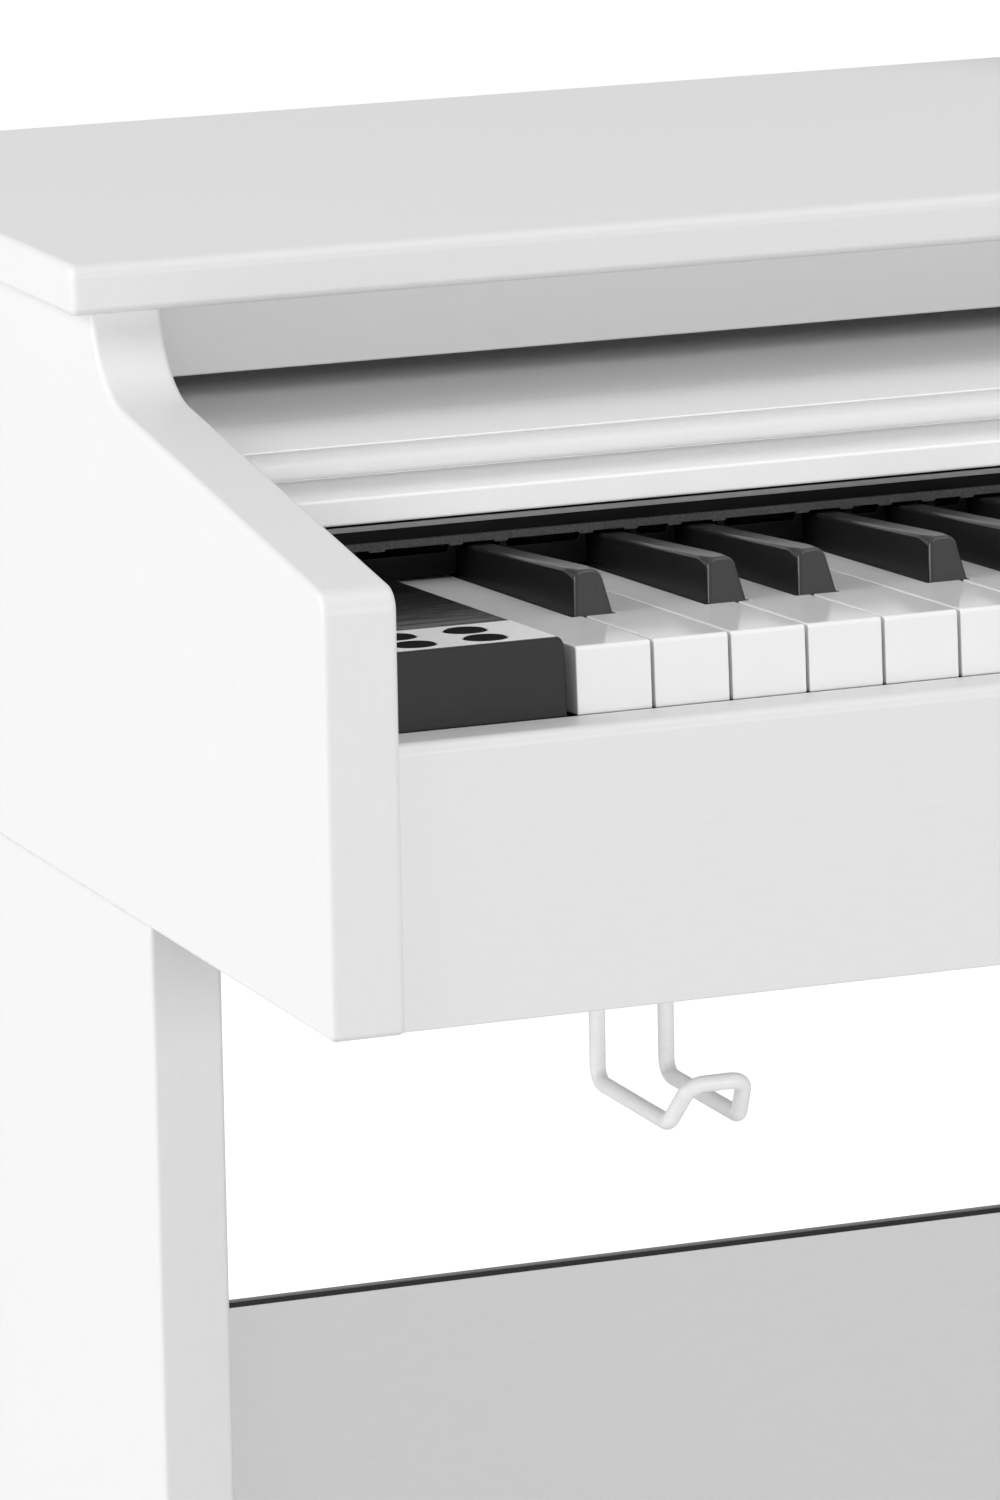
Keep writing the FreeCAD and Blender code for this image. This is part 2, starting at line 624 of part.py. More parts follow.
def key_stop_felt():
    """Felt on the stop shelf that ends the keys' travel."""
    front = KEY_FRONT + CHASSIS_FRONT
    shelf = KEY_TOP - STOP_SHELF_DROP
    return block(KEY_LEFT + 1, -KEY_LEFT - 1, front + 2, front + STOP_SHELF_DEPTH - 2,
                 shelf, shelf + FELT)


def rear_key_cover():
    """Black moulding behind the playing area: a toothed face that comes down between the
    black keys, a deck over the key tails and a back flange on the chassis wall."""
    front = KEY_FRONT + KEY_SHOWN
    top = KEY_TOP + COVER_TOP
    rear = KEY_FRONT + CHASSIS_FRONT + CHASSIS_DEPTH
    low = KEY_TOP - COVER_TOOTH
    foot = KEY_TOP - REAR_WALL_DROP
    inner = COVER_SHEET
    cover = along_x([
        (front, low, 0), (front + inner, low, 0), (front + inner, top - inner, 0),
        (rear - inner, top - inner, 0), (rear - inner, foot, 0), (rear, foot, 0),
        (rear, top, 0), (front, top, 0)], -INNER / 2, INNER / 2)
    half = BLACK_BASE / 2 + COVER_NOTCH_CLEAR
    notches = []
    for index in range(WHITE_COUNT):
        if has_sharp(index):
            x = sharp_x(index)
            notches.append(block(x - half, x + half, front - 1, front + inner + 0.5,
                                 low - 1, KEY_TOP + COVER_NOTCH_TOP))
    return cover.cut(Part.makeCompound(notches))


def key_cover_felt():
    """Grey felt strip along the cover's face, just over the black keys."""
    front = KEY_FRONT + KEY_SHOWN
    low = KEY_TOP + COVER_NOTCH_TOP + COVER_FELT_GAP
    return block(-INNER / 2 + 1, INNER / 2 - 1, front - COVER_FELT, front,
                 low, low + COVER_FELT_HEIGHT)


# ---- cheek blocks ------------------------------------------------------------------------
def cheek_holes():
    """Middles (x, y) of the four button holes of the left cheek, before it is tilted."""
    return [(-INNER / 2 + x, KEY_FRONT + y) for x in BUTTON_X for y in BUTTON_Y]


def cheek_block():
    """Moulded block between the left arm and the first key: an open-bottomed shell with a
    drafted side, a rounded shoulder beside the keys and a sunk seat for the button plate."""
    x0 = -INNER / 2 + CHEEK_CLEAR
    x1 = KEY_LEFT - CHEEK_GAP
    y0, y1 = KEY_FRONT, KEY_FRONT + KEY_SHOWN - 1.0
    top, low = KEY_TOP + CHEEK_TOP, BED_TOP
    draft = CHEEK_DRAFT

    def ring(inset, height, y):
        """Upright section at depth y, drawn in by the wall."""
        foot = low - OVERRUN
        return outline([(x0 + inset, foot, 0), (x1 + draft - inset, foot, 0),
                        (x1 - inset, height, CHEEK_RADIUS), (x0 + inset, height, 0)],
                       lambda p: V(p.x, y, p.y))

    shell = Part.Face(ring(0, top, y0)).extrude(V(0, y1 - y0, 0))
    room = Part.Face(ring(CHEEK_WALL, top - CHEEK_WALL, y0 + CHEEK_WALL))
    room = room.extrude(V(0, y1 - y0 - 2 * CHEEK_WALL, 0))
    shell = shell.cut(room)
    shell = tilted(shell.cut(plate_room(0, OVERRUN)))
    left, right, under = x0 - OVERRUN, x1 + OVERRUN, low - 2 * OVERRUN
    shell = shell.cut(block(left, right, y0 - OVERRUN, y1 + OVERRUN, under, BED_TOP + SEAT))
    return shell.cut(block(left, right, y0 - OVERRUN, SLIP_REAR + SEAT, under, top + OVERRUN))


def plate_room(clear, proud):
    """Seat of the button plate in the left cheek block, before it is tilted, or the plate
    itself when there is some clearance round it."""
    x0 = -INNER / 2 + CHEEK_CLEAR + PLATE_BORDER + clear
    x1 = KEY_LEFT - CHEEK_GAP - PLATE_INNER_BORDER - clear
    y0 = KEY_FRONT + PLATE_BORDER + clear
    y1 = KEY_FRONT + PLATE_BORDER + PLATE_LENGTH - clear
    top = KEY_TOP + CHEEK_TOP
    return block(x0, x1, y0, y1, top - PLATE_THICKNESS, top + proud)


def cheek_window():
    """Opening under the button plate that the four buttons' collars move in."""
    room = BUTTON_RADIUS + BUTTON_COLLAR + COLLAR_CLEAR
    xs = [x for x, _ in cheek_holes()]
    ys = [y for _, y in cheek_holes()]
    return tilted(block(min(xs) - room, max(xs) + room, min(ys) - room, max(ys) + room,
                        KEY_TOP - 2 * CHEEK_WALL, KEY_TOP + 2 * CHEEK_TOP))


def button_plate():
    """Pale plate sunk flush into the left cheek block; its round holes are cut after it."""
    return tilted(plate_room(SEAT, PLATE_PROUD))


def through_plate(shape, centres, radius):
    """Cuts round holes through a cheek piece, square to its tilted top."""
    for x, y in centres:
        hole = Part.makeCylinder(radius, 2 * OVERRUN, V(x, y, KEY_TOP - OVERRUN), UP)
        shape = shape.cut(tilted(hole))
    return shape


def button(x, y, wall, proud):
    """Round push button with a square collar below the wall that it comes up through."""
    top = KEY_TOP + CHEEK_TOP
    foot = V(x, y, top - BUTTON_LENGTH)
    half, shelf = BUTTON_RADIUS + BUTTON_COLLAR, top - wall - SEAT
    stem = Part.makeCylinder(BUTTON_RADIUS, BUTTON_LENGTH + proud, foot, UP)
    collar = block(x - half, x + half, y - half, y + half, foot.z, shelf)
    return tilted(stem.fuse(collar).removeSplitter())


def control_centres():
    """Middles of the power button and the volume knob on the right cheek."""
    x = INNER / 2 - CHEEK_WIDTH / 2 + CHEEK_GAP / 2
    return (x, KEY_FRONT + POWER_BACK), (x, KEY_FRONT + VOLUME_BACK)


def volume_knob():
    """Turning knob with a pointer groove, on a shaft through the right cheek."""
    (x, y) = control_centres()[1]
    low = KEY_TOP + CHEEK_TOP + KNOB_GAP
    shaft = Part.makeCylinder(KNOB_SHAFT, KNOB_SHAFT_LENGTH + KNOB_GAP, V(x, y, low), -UP)
    knob = Part.makeCylinder(KNOB_RADIUS, KNOB_HEIGHT, V(x, y, low), UP).fuse(shaft)
    mark = block(x - KNOB_MARK / 2, x + KNOB_MARK / 2, y - KNOB_RADIUS - 1, y - KNOB_RADIUS / 4,
                 low + KNOB_HEIGHT - KNOB_MARK, low + KNOB_HEIGHT + 1)
    return tilted(knob.cut(mark))


# ---- fallboard ---------------------------------------------------------------------------
def fall_width():
    """Half width of the fallboard between the arms."""
    return INNER / 2 - FALL_SIDE_CLEAR


def fallboard_front_rail():
    """Moulded front of the fallboard: an upright face, a deep finger groove with a level shelf
    and a round back under a thin lip, and a deck that carries on as the sliding panel."""
    y, z = FALL_OPEN, FALL_LOW
    top, shelf = z + RAIL_HEIGHT, z + RAIL_FACE
    roof = top - RAIL_LIP
    turn = y + RAIL_GROOVE - (roof - shelf) / 2
    lip, ease = y + RAIL_LIP_BACK, RAIL_EDGE
    corners = [
        V(0, turn, shelf), V(0, y + ease, shelf), V(0, y, shelf - ease), V(0, y, z + ease),
        V(0, y + ease, z), V(0, y + RAIL_DEPTH, z), V(0, y + RAIL_DEPTH, top - FALL_THICKNESS),
        V(0, y + RAIL_TOP_DEPTH, top - FALL_THICKNESS), V(0, y + RAIL_TOP_DEPTH, top),
        V(0, lip + ease, top), V(0, lip, top - ease), V(0, lip, roof), V(0, turn, roof),
    ]
    edges = [Part.makeLine(first, last) for first, last in zip(corners, corners[1:])]
    back = V(0, y + RAIL_GROOVE, (shelf + roof) / 2)
    edges.append(Part.Arc(corners[-1], back, corners[0]).toShape())
    face = Part.Face(Part.Wire(edges))
    face.translate(V(-fall_width(), 0, 0))
    return sloped(face.extrude(V(2 * fall_width(), 0, 0)))


def fallboard_panel():
    """Sliding panel behind the rail; its edges run in the guides."""
    top = FALL_LOW + RAIL_HEIGHT - FALL_STEP
    y0 = FALL_OPEN + RAIL_TOP_DEPTH
    low = FALL_LOW + RAIL_HEIGHT - FALL_THICKNESS
    half = fall_width()
    panel = block(-half, half, y0, BACK_FRONT - GUIDE_REAR_GAP - FALL_REAR_GAP, low, top)
    return sloped(panel)


def fallboard_guide():
    """Left guide: a channel on the arm's inner face that holds the fallboard's edge."""
    x0, x1 = -INNER / 2, -INNER / 2 + GUIDE_WIDTH
    y0, y1 = KEY_FRONT + GUIDE_START, BACK_FRONT - GUIDE_REAR_GAP
    low = FALL_LOW + RAIL_HEIGHT - FALL_THICKNESS - GUIDE_CLEAR
    high = FALL_LOW + RAIL_HEIGHT + GUIDE_CLEAR
    body = block(x0, x1, y0, y1, low - GUIDE_FLANGE, high + GUIDE_FLANGE)
    slot = block(x0 + FALL_SIDE_CLEAR - GUIDE_CLEAR, x1 + 1, y0 - 1, y1 + 1, low, high)
    return sloped(body.cut(slot))


# ---- music rest --------------------------------------------------------------------------
def rest_slots():
    """Bottoms of the two slots in the top board that hold the music rest's tongues."""
    y = ARM_FRONT + REST_BACK
    low = TOTAL_HEIGHT - TONGUE_DEPTH
    return [V(side * TONGUE_SPREAD / 2, y, low) for side in (-1, 1)]


def rest_tongue(spot, clear, height):
    """A tongue of the music rest on its spot, or its slot when there is some clearance."""
    half, thick = TONGUE_WIDTH / 2 + clear, TONGUE_THICKNESS / 2 + clear
    return block(spot.x - half, spot.x + half, spot.y - thick, spot.y + thick,
                 spot.z, spot.z + height)


def music_rest():
    """Leaning board with round upper corners and a page ledge, whose two tongues drop into
    the top board."""
    half = REST_WIDTH / 2
    y, low = ARM_FRONT + REST_BACK, TOTAL_HEIGHT + SEAT
    y0, y1 = y - REST_THICKNESS / 2, y + REST_THICKNESS / 2
    corners = [(-half, low, 0), (half, low, 0),
               (half, low + REST_HEIGHT, REST_CORNER), (-half, low + REST_HEIGHT, REST_CORNER)]
    wire = outline(corners, lambda p: V(p.x, y0, p.y))
    board = Part.Face(wire).extrude(V(0, REST_THICKNESS, 0))
    board.rotate(V(0, y, low), RIGHT, -math.degrees(REST_LEAN))
    board = board.cut(block(-half - 1, half + 1, y0 - OVERRUN, y1 + OVERRUN, low - OVERRUN, low))
    top = low + REST_LEDGE_THICKNESS
    lip = y0 - REST_LEDGE
    ledge = along_x([(lip, low, 0), (y1, low, 0), (y1, top, 0), (lip + REST_LIP, top, 0),
                     (lip + REST_LIP, top + REST_LIP, 0), (lip, top + REST_LIP, 0)],
                    -half + REST_LEDGE_INSET, half - REST_LEDGE_INSET)
    tongues = [rest_tongue(spot + UP * SEAT, 0, TONGUE_DEPTH + SEAT) for spot in rest_slots()]
    return board.fuse([ledge] + tongues).removeSplitter()


# ---- stand -------------------------------------------------------------------------------
def stand_panel():
    """Left side board of the stand: an upright board with a low foot that reaches forward."""
    front = STAND_FRONT - FOOT_REACH
    foot = GLIDE_HEIGHT + FOOT_HEIGHT
    side = [(STAND_REAR, GLIDE_HEIGHT, 2), (front, GLIDE_HEIGHT, 4),
            (front, foot, FOOT_NOSE), (STAND_FRONT, foot, FOOT_RADIUS),
            (STAND_FRONT, CABINET_BOTTOM, 0), (STAND_REAR, CABINET_BOTTOM, 0)]
    return along_x(side, -OUTER / 2, -INNER / 2)


def glides():
    """Eight-sided glides under the four ends of the two side boards."""
    found = []
    for x in (-(OUTER + INNER) / 4, (OUTER + INNER) / 4):
        for y in (STAND_FRONT - FOOT_REACH + GLIDE_INSET, STAND_REAR - GLIDE_INSET):
            found.append(prism(GLIDE_SIDES, GLIDE_RADIUS, V(x, y, 0), UP, GLIDE_HEIGHT))
    return found


def stand_back_board():
    """Thin board across the back of the stand, open above it up to the cabinet."""
    return block(-INNER / 2, INNER / 2, BACK_BOARD_FRONT, BACK_BOARD_FRONT + BACK_BOARD,
                 BACK_BOARD_BOTTOM, BACK_BOARD_TOP - TRIM)


def back_board_trim():
    """Dark edge strip on top of the back board."""
    rear = BACK_BOARD_FRONT + BACK_BOARD
    return along_x([(BACK_BOARD_FRONT, BACK_BOARD_TOP - TRIM, 0), (rear, BACK_BOARD_TOP - TRIM, 0),
                    (rear, BACK_BOARD_TOP, 0), (BACK_BOARD_FRONT, BACK_BOARD_TOP, 0)],
                   -INNER / 2, INNER / 2)


def pedal_places():
    """Middles of the three pedals."""
    return [-PEDAL_PITCH, 0.0, PEDAL_PITCH]


def pedal_slot(x):
    """Opening in the pedal box's face that a pedal moves in."""
    half = PEDAL_WIDTH / 2 + PEDAL_SIDE_ROOM
    high = PEDAL_HEIGHT + PEDAL_ROOM_UP
    low = PEDAL_HEIGHT - PEDAL_THICKNESS - PEDAL_ROOM_DOWN
    return block(x - half, x + half, BOX_FRONT - 1, BOX_FRONT + PEDAL_BOX_WALL + 1, low, high)


def pedal_axle_place(x):
    """Middle of a pedal's axle inside the box."""
    return V(x, BOX_FRONT + PEDAL_BACK, PEDAL_HEIGHT - PEDAL_THICKNESS / 2)


def pedal_box():
    """Hollow cross-board near the floor that ties the side boards and holds the pedals,
    with a slot for each pedal, axles inside and a threaded boss for the levelling foot."""
    top = PEDAL_BOX_BOTTOM + PEDAL_BOX_HEIGHT
    rear = BOX_FRONT + PEDAL_BOX_DEPTH
    wall = PEDAL_BOX_WALL
    box = along_x([(BOX_FRONT, PEDAL_BOX_BOTTOM, 0), (rear, PEDAL_BOX_BOTTOM, 0), (rear, top, 0),
                   (BOX_FRONT, top, 4)], -INNER / 2, INNER / 2)
    room = block(-INNER / 2 + wall, INNER / 2 - wall, BOX_FRONT + wall, rear - wall,
                 PEDAL_BOX_BOTTOM + wall, top - wall)
    box = box.cut(room)
    for x in pedal_places():
        box = box.cut(pedal_slot(x))
        at = pedal_axle_place(x)
        for side in (-1, 1):
            near = x + side * (PEDAL_WIDTH / 2 + PEDAL_CHEEK_GAP)
            far = near + side * PEDAL_CHEEK
            around = PEDAL_AXLE + PEDAL_EYE
            box = box.fuse(block(min(near, far), max(near, far), at.y - around, at.y + around,
                                 PEDAL_BOX_BOTTOM + wall - 1, at.z + around))
        half = PEDAL_WIDTH / 2 + PEDAL_CHEEK_GAP + PEDAL_CHEEK / 2
        box = box.fuse(Part.makeCylinder(PEDAL_AXLE, 2 * half, at - RIGHT * half, RIGHT))
    hole = Part.makeCylinder(ADJUSTER_STEM + PIVOT_CLEAR, wall + 2,
                             V(0, adjuster_y(), PEDAL_BOX_BOTTOM - 1), UP)
    return box.cut(hole).removeSplitter()


def adjuster_y():
    """Depth of the levelling foot under the pedal box."""
    return BOX_FRONT + PEDAL_BOX_DEPTH / 2 - ADJUSTER_FORWARD


def pedal(x):
    """One pedal: a lever that widens into a rounded toe with eased edges, and a square eye
    on the axle."""
    at = pedal_axle_place(x)
    tip = BOX_FRONT - PEDAL_REACH
    half = PEDAL_WIDTH / 2
    neck = half * PEDAL_NECK
    left = [(x - neck, at.y, 0), (x - neck, BOX_FRONT - PEDAL_NECK_END, 0),
            (x - half, BOX_FRONT - PEDAL_TOE_START, 0), (x - half, tip, half - 0.5)]
    right = [(2 * x - a, b, radius) for a, b, radius in reversed(left)]
    lever = along_z(left + right, at.z - PEDAL_THICKNESS / 2, at.z + PEDAL_THICKNESS / 2)
    crown = edges_where(lever, lambda p: p.z > at.z and p.y < BOX_FRONT - PEDAL_NECK_END - 1)
    lever = lever.makeChamfer(PEDAL_EDGE, crown)
    around = PEDAL_AXLE + PEDAL_EYE
    eye = block(x - half, x + half, at.y - around, at.y + around, at.z - around, at.z + around)
    bore = Part.makeCylinder(PEDAL_AXLE + PIVOT_CLEAR, PEDAL_WIDTH + 2,
                             at - RIGHT * (half + 1), RIGHT)
    return lever.fuse(eye).cut(bore).removeSplitter()


def pedal_adjuster():
    """Levelling foot under the middle of the pedal box: a lobed wheel with a threaded stem."""
    centre = V(0, adjuster_y(), 0)
    wheel = prism(WHEEL_SIDES, ADJUSTER_RADIUS, centre, UP, ADJUSTER_HEIGHT)
    stem = Part.makeCylinder(ADJUSTER_STEM, PEDAL_BOX_BOTTOM + ADJUSTER_ENGAGED, centre, UP)
    return wheel.fuse(stem).removeSplitter()


def bracket_span():
    """Front and rear of the angle brackets."""
    front = STAND_FRONT + BRACKET_BACK
    return front, front + BRACKET_LENGTH


def bracket():
    """Left angle bracket that ties the keybed to the stand's side board."""
    x = -INNER / 2
    y0, y1 = bracket_span()
    upright = block(x, x + SHEET, y0, y1, CABINET_BOTTOM - BRACKET_DROP, CABINET_BOTTOM)
    flange = block(x, x + BRACKET_FLANGE, y0, y1, CABINET_BOTTOM - SHEET, CABINET_BOTTOM)
    return upright.fuse(flange).removeSplitter()


def screw_head(spot, way):
    """Hexagon head of a screw that stands on a surface at spot and faces the given way."""
    return prism(SCREW_SIDES, SCREW_HEAD, spot, way, SCREW_HEAD_HEIGHT)


def bracket_screws():
    """Hexagon screws of the two brackets and of the hook's plate."""
    heads = []
    y0, y1 = bracket_span()
    for side in (-1, 1):
        for y in (y0 + BRACKET_SCREW_INSET, y1 - BRACKET_SCREW_INSET):
            wall = V(side * (INNER / 2 - SHEET), y, CABINET_BOTTOM - BRACKET_DROP / 2)
            heads.append(screw_head(wall, RIGHT * -side))
            under = V(side * (INNER / 2 - BRACKET_FLANGE / 2), y, CABINET_BOTTOM - SHEET)
            heads.append(screw_head(under, -UP))
    for side in (-1, 1):
        ear = -OUTER / 2 + HOOK_X + side * (HOOK_SPREAD + HOOK_EAR) / 2
        heads.append(screw_head(V(ear, ARM_FRONT + HOOK_BACK, CABINET_BOTTOM - HOOK_PLATE), -UP))
    return heads


# ---- headphone hook and sockets ----------------------------------------------------------
def bent_wire(points, bend, radius):
    """A wire through the points, every corner eased by two chords of the same bend. Its
    section has twelve sides, which is round enough for its size."""
    stops = [points[0]]
    for before, corner, after in zip(points, points[1:], points[2:]):
        back, ahead = (before - corner).normalize(), (after - corner).normalize()
        half = back.getAngle(ahead) / 2
        reach = bend / math.tan(half)
        arc_start, arc_end = corner + back * reach, corner + ahead * reach
        middle = corner + (back + ahead).normalize() * (bend / math.sin(half) - bend)
        stops += [arc_start, middle, arc_end]
    path = Part.makePolygon(stops + [points[-1]])
    section = regular_ring(WIRE_SIDES, radius, points[0], (points[1] - points[0]).normalize())
    return path.makePipeShell([section], True, False, 1)


def headphone_hook():
    """One wire bent down, forward and up again, welded to a plate under the keybed."""
    x = -OUTER / 2 + HOOK_X
    y, top = ARM_FRONT + HOOK_BACK, CABINET_BOTTOM - HOOK_PLATE / 2
    low = CABINET_BOTTOM - HOOK_DROP
    wide, narrow = HOOK_SPREAD / 2, HOOK_TIP_SPREAD / 2
    reach, tip = y - HOOK_REACH, y - HOOK_REACH - HOOK_TIP_REACH
    rise = low + HOOK_TIP_RISE
    wire = bent_wire([V(x - wide, y, top), V(x - wide, y, low), V(x - wide, reach, low),
                      V(x - narrow, tip, rise), V(x + narrow, tip, rise), V(x + wide, reach, low),
                      V(x + wide, y, low), V(x + wide, y, top)], HOOK_BEND, WIRE)
    half, deep = wide + HOOK_EAR, HOOK_PLATE_DEPTH / 2
    plate = block(x - half, x + half, y - deep, y + deep, CABINET_BOTTOM - HOOK_PLATE, CABINET_BOTTOM)
    return plate.fuse(wire).removeSplitter()


def socket_place():
    """Middle (x, y) of the headphone socket plate under the keybed."""
    return -OUTER / 2 + HOOK_X + HEADPHONE_FROM_HOOK, ARM_FRONT + HEADPHONE_BACK


def socket_body(clear):
    """The sockets' body in its pocket through the keybed, or the pocket when clear is 0."""
    x, y = socket_place()
    half_x = HEADPHONE_PLATE[0] / 2 - HEADPHONE_LAP - clear
    half_y = HEADPHONE_PLATE[1] / 2 - HEADPHONE_LAP_DEEP - clear
    return block(x - half_x, x + half_x, y - half_y, y + half_y, CABINET_BOTTOM, BED_TOP - clear)


def headphone_sockets():
    """Two headphone sockets facing down, their flange against the keybed's underside."""
    x, y = socket_place()
    half_x, half_y = HEADPHONE_PLATE[0] / 2, HEADPHONE_PLATE[1] / 2
    low = CABINET_BOTTOM - HEADPHONE_FLANGE
    body = socket_body(SEAT).fuse(block(x - half_x, x + half_x, y - half_y, y + half_y,
                                        low, CABINET_BOTTOM))
    deep = PANEL + HEADPHONE_FLANGE - SEAT - JACK_FLOOR
    for side in (-1, 1):
        mouth = V(x + side * JACK_PITCH / 2, y, low)
        body = body.cut(Part.makeCylinder(JACK_RADIUS, deep, mouth, UP))
    return body.removeSplitter()


# ---- speakers and electronics ------------------------------------------------------------
def speaker_y():
    """Depth of the speakers, midway between the key chassis and the cabinet's back."""
    return (KEY_FRONT + CHASSIS_FRONT + CHASSIS_DEPTH + BACK_FRONT) / 2


def speaker(x):
    """Square-framed driver that fires down through the keybed: frame, basket and magnet."""
    y = speaker_y()
    half, neck = SPEAKER_HALF, SPEAKER_DEPTH - SPEAKER_MAGNET_HEIGHT
    frame = block(x - half, x + half, y - half, y + half, BED_TOP, BED_TOP + SPEAKER_RIM)
    basket = taper(V(x, y, BED_TOP + SPEAKER_RIM), SPEAKER_OPENING, SPEAKER_NECK,
                   neck - SPEAKER_RIM)
    magnet = block(x - SPEAKER_MAGNET, x + SPEAKER_MAGNET, y - SPEAKER_MAGNET, y + SPEAKER_MAGNET,
                   BED_TOP + neck, BED_TOP + SPEAKER_DEPTH)
    dish = taper(V(x, y, BED_TOP), SPEAKER_OPENING, SPEAKER_DUST_CAP, SPEAKER_DISH)
    return frame.fuse([basket, magnet]).cut(dish).removeSplitter()


def speaker_grille(x):
    """Slotted square cover under a speaker opening."""
    y, low = speaker_y(), CABINET_BOTTOM - GRILLE
    cover = block(x - SPEAKER_HALF, x + SPEAKER_HALF, y - SPEAKER_HALF, y + SPEAKER_HALF,
                  low, CABINET_BOTTOM)
    along = SPEAKER_OPENING - GRILLE_SLOT
    slots = []
    for step in range(-(GRILLE_SLOTS // 2), GRILLE_SLOTS // 2 + 1):
        offset = step * GRILLE_PITCH
        slots.append(block(x - along, x + along, y + offset - GRILLE_SLOT / 2,
                           y + offset + GRILLE_SLOT / 2, low - 1, CABINET_BOTTOM + 1))
    return cover.cut(Part.makeCompound(slots))


def main_board():
    """Main circuit board on four posts behind the keys, with its chip and heat sink."""
    half = MAIN_BOARD_WIDTH / 2
    y0 = KEY_FRONT + CHASSIS_FRONT + CHASSIS_DEPTH + MAIN_BOARD_MARGIN
    y1 = BACK_FRONT - MAIN_BOARD_MARGIN
    middle = (y0 + y1) / 2
    low = BED_TOP + MAIN_POST_HEIGHT
    top = low + MAIN_BOARD_THICKNESS
    board = block(-half, half, y0, y1, low, top)
    for x in (-half + MAIN_POST_INSET, half - MAIN_POST_INSET):
        for y in (y0 + MAIN_POST_INSET, y1 - MAIN_POST_INSET):
            board = board.fuse(block(x - MAIN_POST, x + MAIN_POST, y - MAIN_POST, y + MAIN_POST,
                                     BED_TOP, low))
    chip = block(-CHIP, 0, middle - CHIP / 2, middle + CHIP / 2, top, top + CHIP_HEIGHT)
    sink = block(half / 2, half / 2 + HEAT_SINK_WIDTH, middle - CHIP / 2, middle + CHIP / 2,
                 top, top + HEAT_SINK_HEIGHT)
    return board.fuse([chip, sink]).removeSplitter()


# ---- build -------------------------------------------------------------------------------
def main():
    """Builds every piece and writes it as its own node."""
    os.makedirs("parts", exist_ok=True)
    left_arm, panel, cheek, guide = arm(), stand_panel(), cheek_block(), fallboard_guide()
    save("top_board", [top_board()])
    save("left_arm", [left_arm])
    save("right_arm", [mirror(left_arm)])
    save("upper_front_panel", [upper_front_panel()])
    save("keybed", [keybed()])
    save("key_slip", [key_slip()])
    save("cabinet_back", [cabinet_back()])
    save("jack_panel", [jack_panel()])

    buttons = cheek_holes()
    power, volume = control_centres()
    hole = BUTTON_RADIUS + BUTTON_CLEAR
    save("left_cheek_block", [cheek.cut(cheek_window())])
    save("button_plate", [through_plate(button_plate(), buttons, hole)])
    right = through_plate(mirror(cheek), [power], hole)
    save("right_cheek_block", [through_plate(right, [volume], KNOB_SHAFT + BUTTON_CLEAR)])
    for (x, y), name in zip(buttons, ["outer_front", "outer_rear", "inner_front", "inner_rear"]):
        save("button_" + name, [button(x, y, PLATE_THICKNESS, BUTTON_PROUD)])
    save("power_button", [button(power[0], power[1], CHEEK_WALL, POWER_PROUD)])
    save("volume_knob", [volume_knob()])

    save("key_chassis", [key_chassis()])
    save("key_pivot_rod", [key_pivot_rod()])
    save("key_stop_felt", [key_stop_felt()])
    save("contact_board", [contact_board()])
    save("rear_key_cover", [rear_key_cover()])
    save("key_cover_felt", [key_cover_felt()])
    save_keys()

    save("fallboard_front_rail", [fallboard_front_rail()])
    save("fallboard_panel", [fallboard_panel()])
    save("fallboard_guides", [guide, mirror(guide)])
    save("music_rest", [music_rest()])

    save("left_stand_panel", [panel])
    save("right_stand_panel", [mirror(panel)])
    save("stand_back_board", [stand_back_board()])
    save("back_board_trim", [back_board_trim()])
    save("stand_glides", glides())
    save("pedal_box", [pedal_box()])
    for x, name in zip(pedal_places(), ["left", "middle", "right"]):
        save(name + "_pedal", [pedal(x)])
    save("pedal_adjuster", [pedal_adjuster()])
    save("cabinet_brackets", [bracket(), mirror(bracket())])
    save("assembly_screws", bracket_screws())
    save("headphone_hook", [headphone_hook()])
    save("headphone_sockets", [headphone_sockets()])
    save("speakers", [speaker(-SPEAKER_X), speaker(SPEAKER_X)])
    save("speaker_grilles", [speaker_grille(-SPEAKER_X), speaker_grille(SPEAKER_X)])
    save("main_board", [main_board()])
    print("key pivot", pivot_point(), "pedal axle", pedal_axle_place(0))


def save_keys():
    """The lowest keys as nodes of their own, and the rest as three groups of each colour."""
    whites = range(SINGLE_WHITES, WHITE_COUNT)
    share = math.ceil(len(whites) / len(GROUPS))
    for index in range(SINGLE_WHITES):
        octave = 0 if index < 2 else 1
        letter = white_name(index).lower()
        save(f"white_key_{letter}{octave}", [white_key(index)])
        if has_sharp(index):
            save(f"black_key_{letter}_sharp{octave}", [black_key(index)])
    for number, name in enumerate(GROUPS):
        members = whites[number * share:(number + 1) * share]
        save(f"white_keys_{name}", [white_key(index) for index in members])
        save(f"black_keys_{name}", [black_key(index) for index in members if has_sharp(index)])


main()
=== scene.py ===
# %% [markdown]
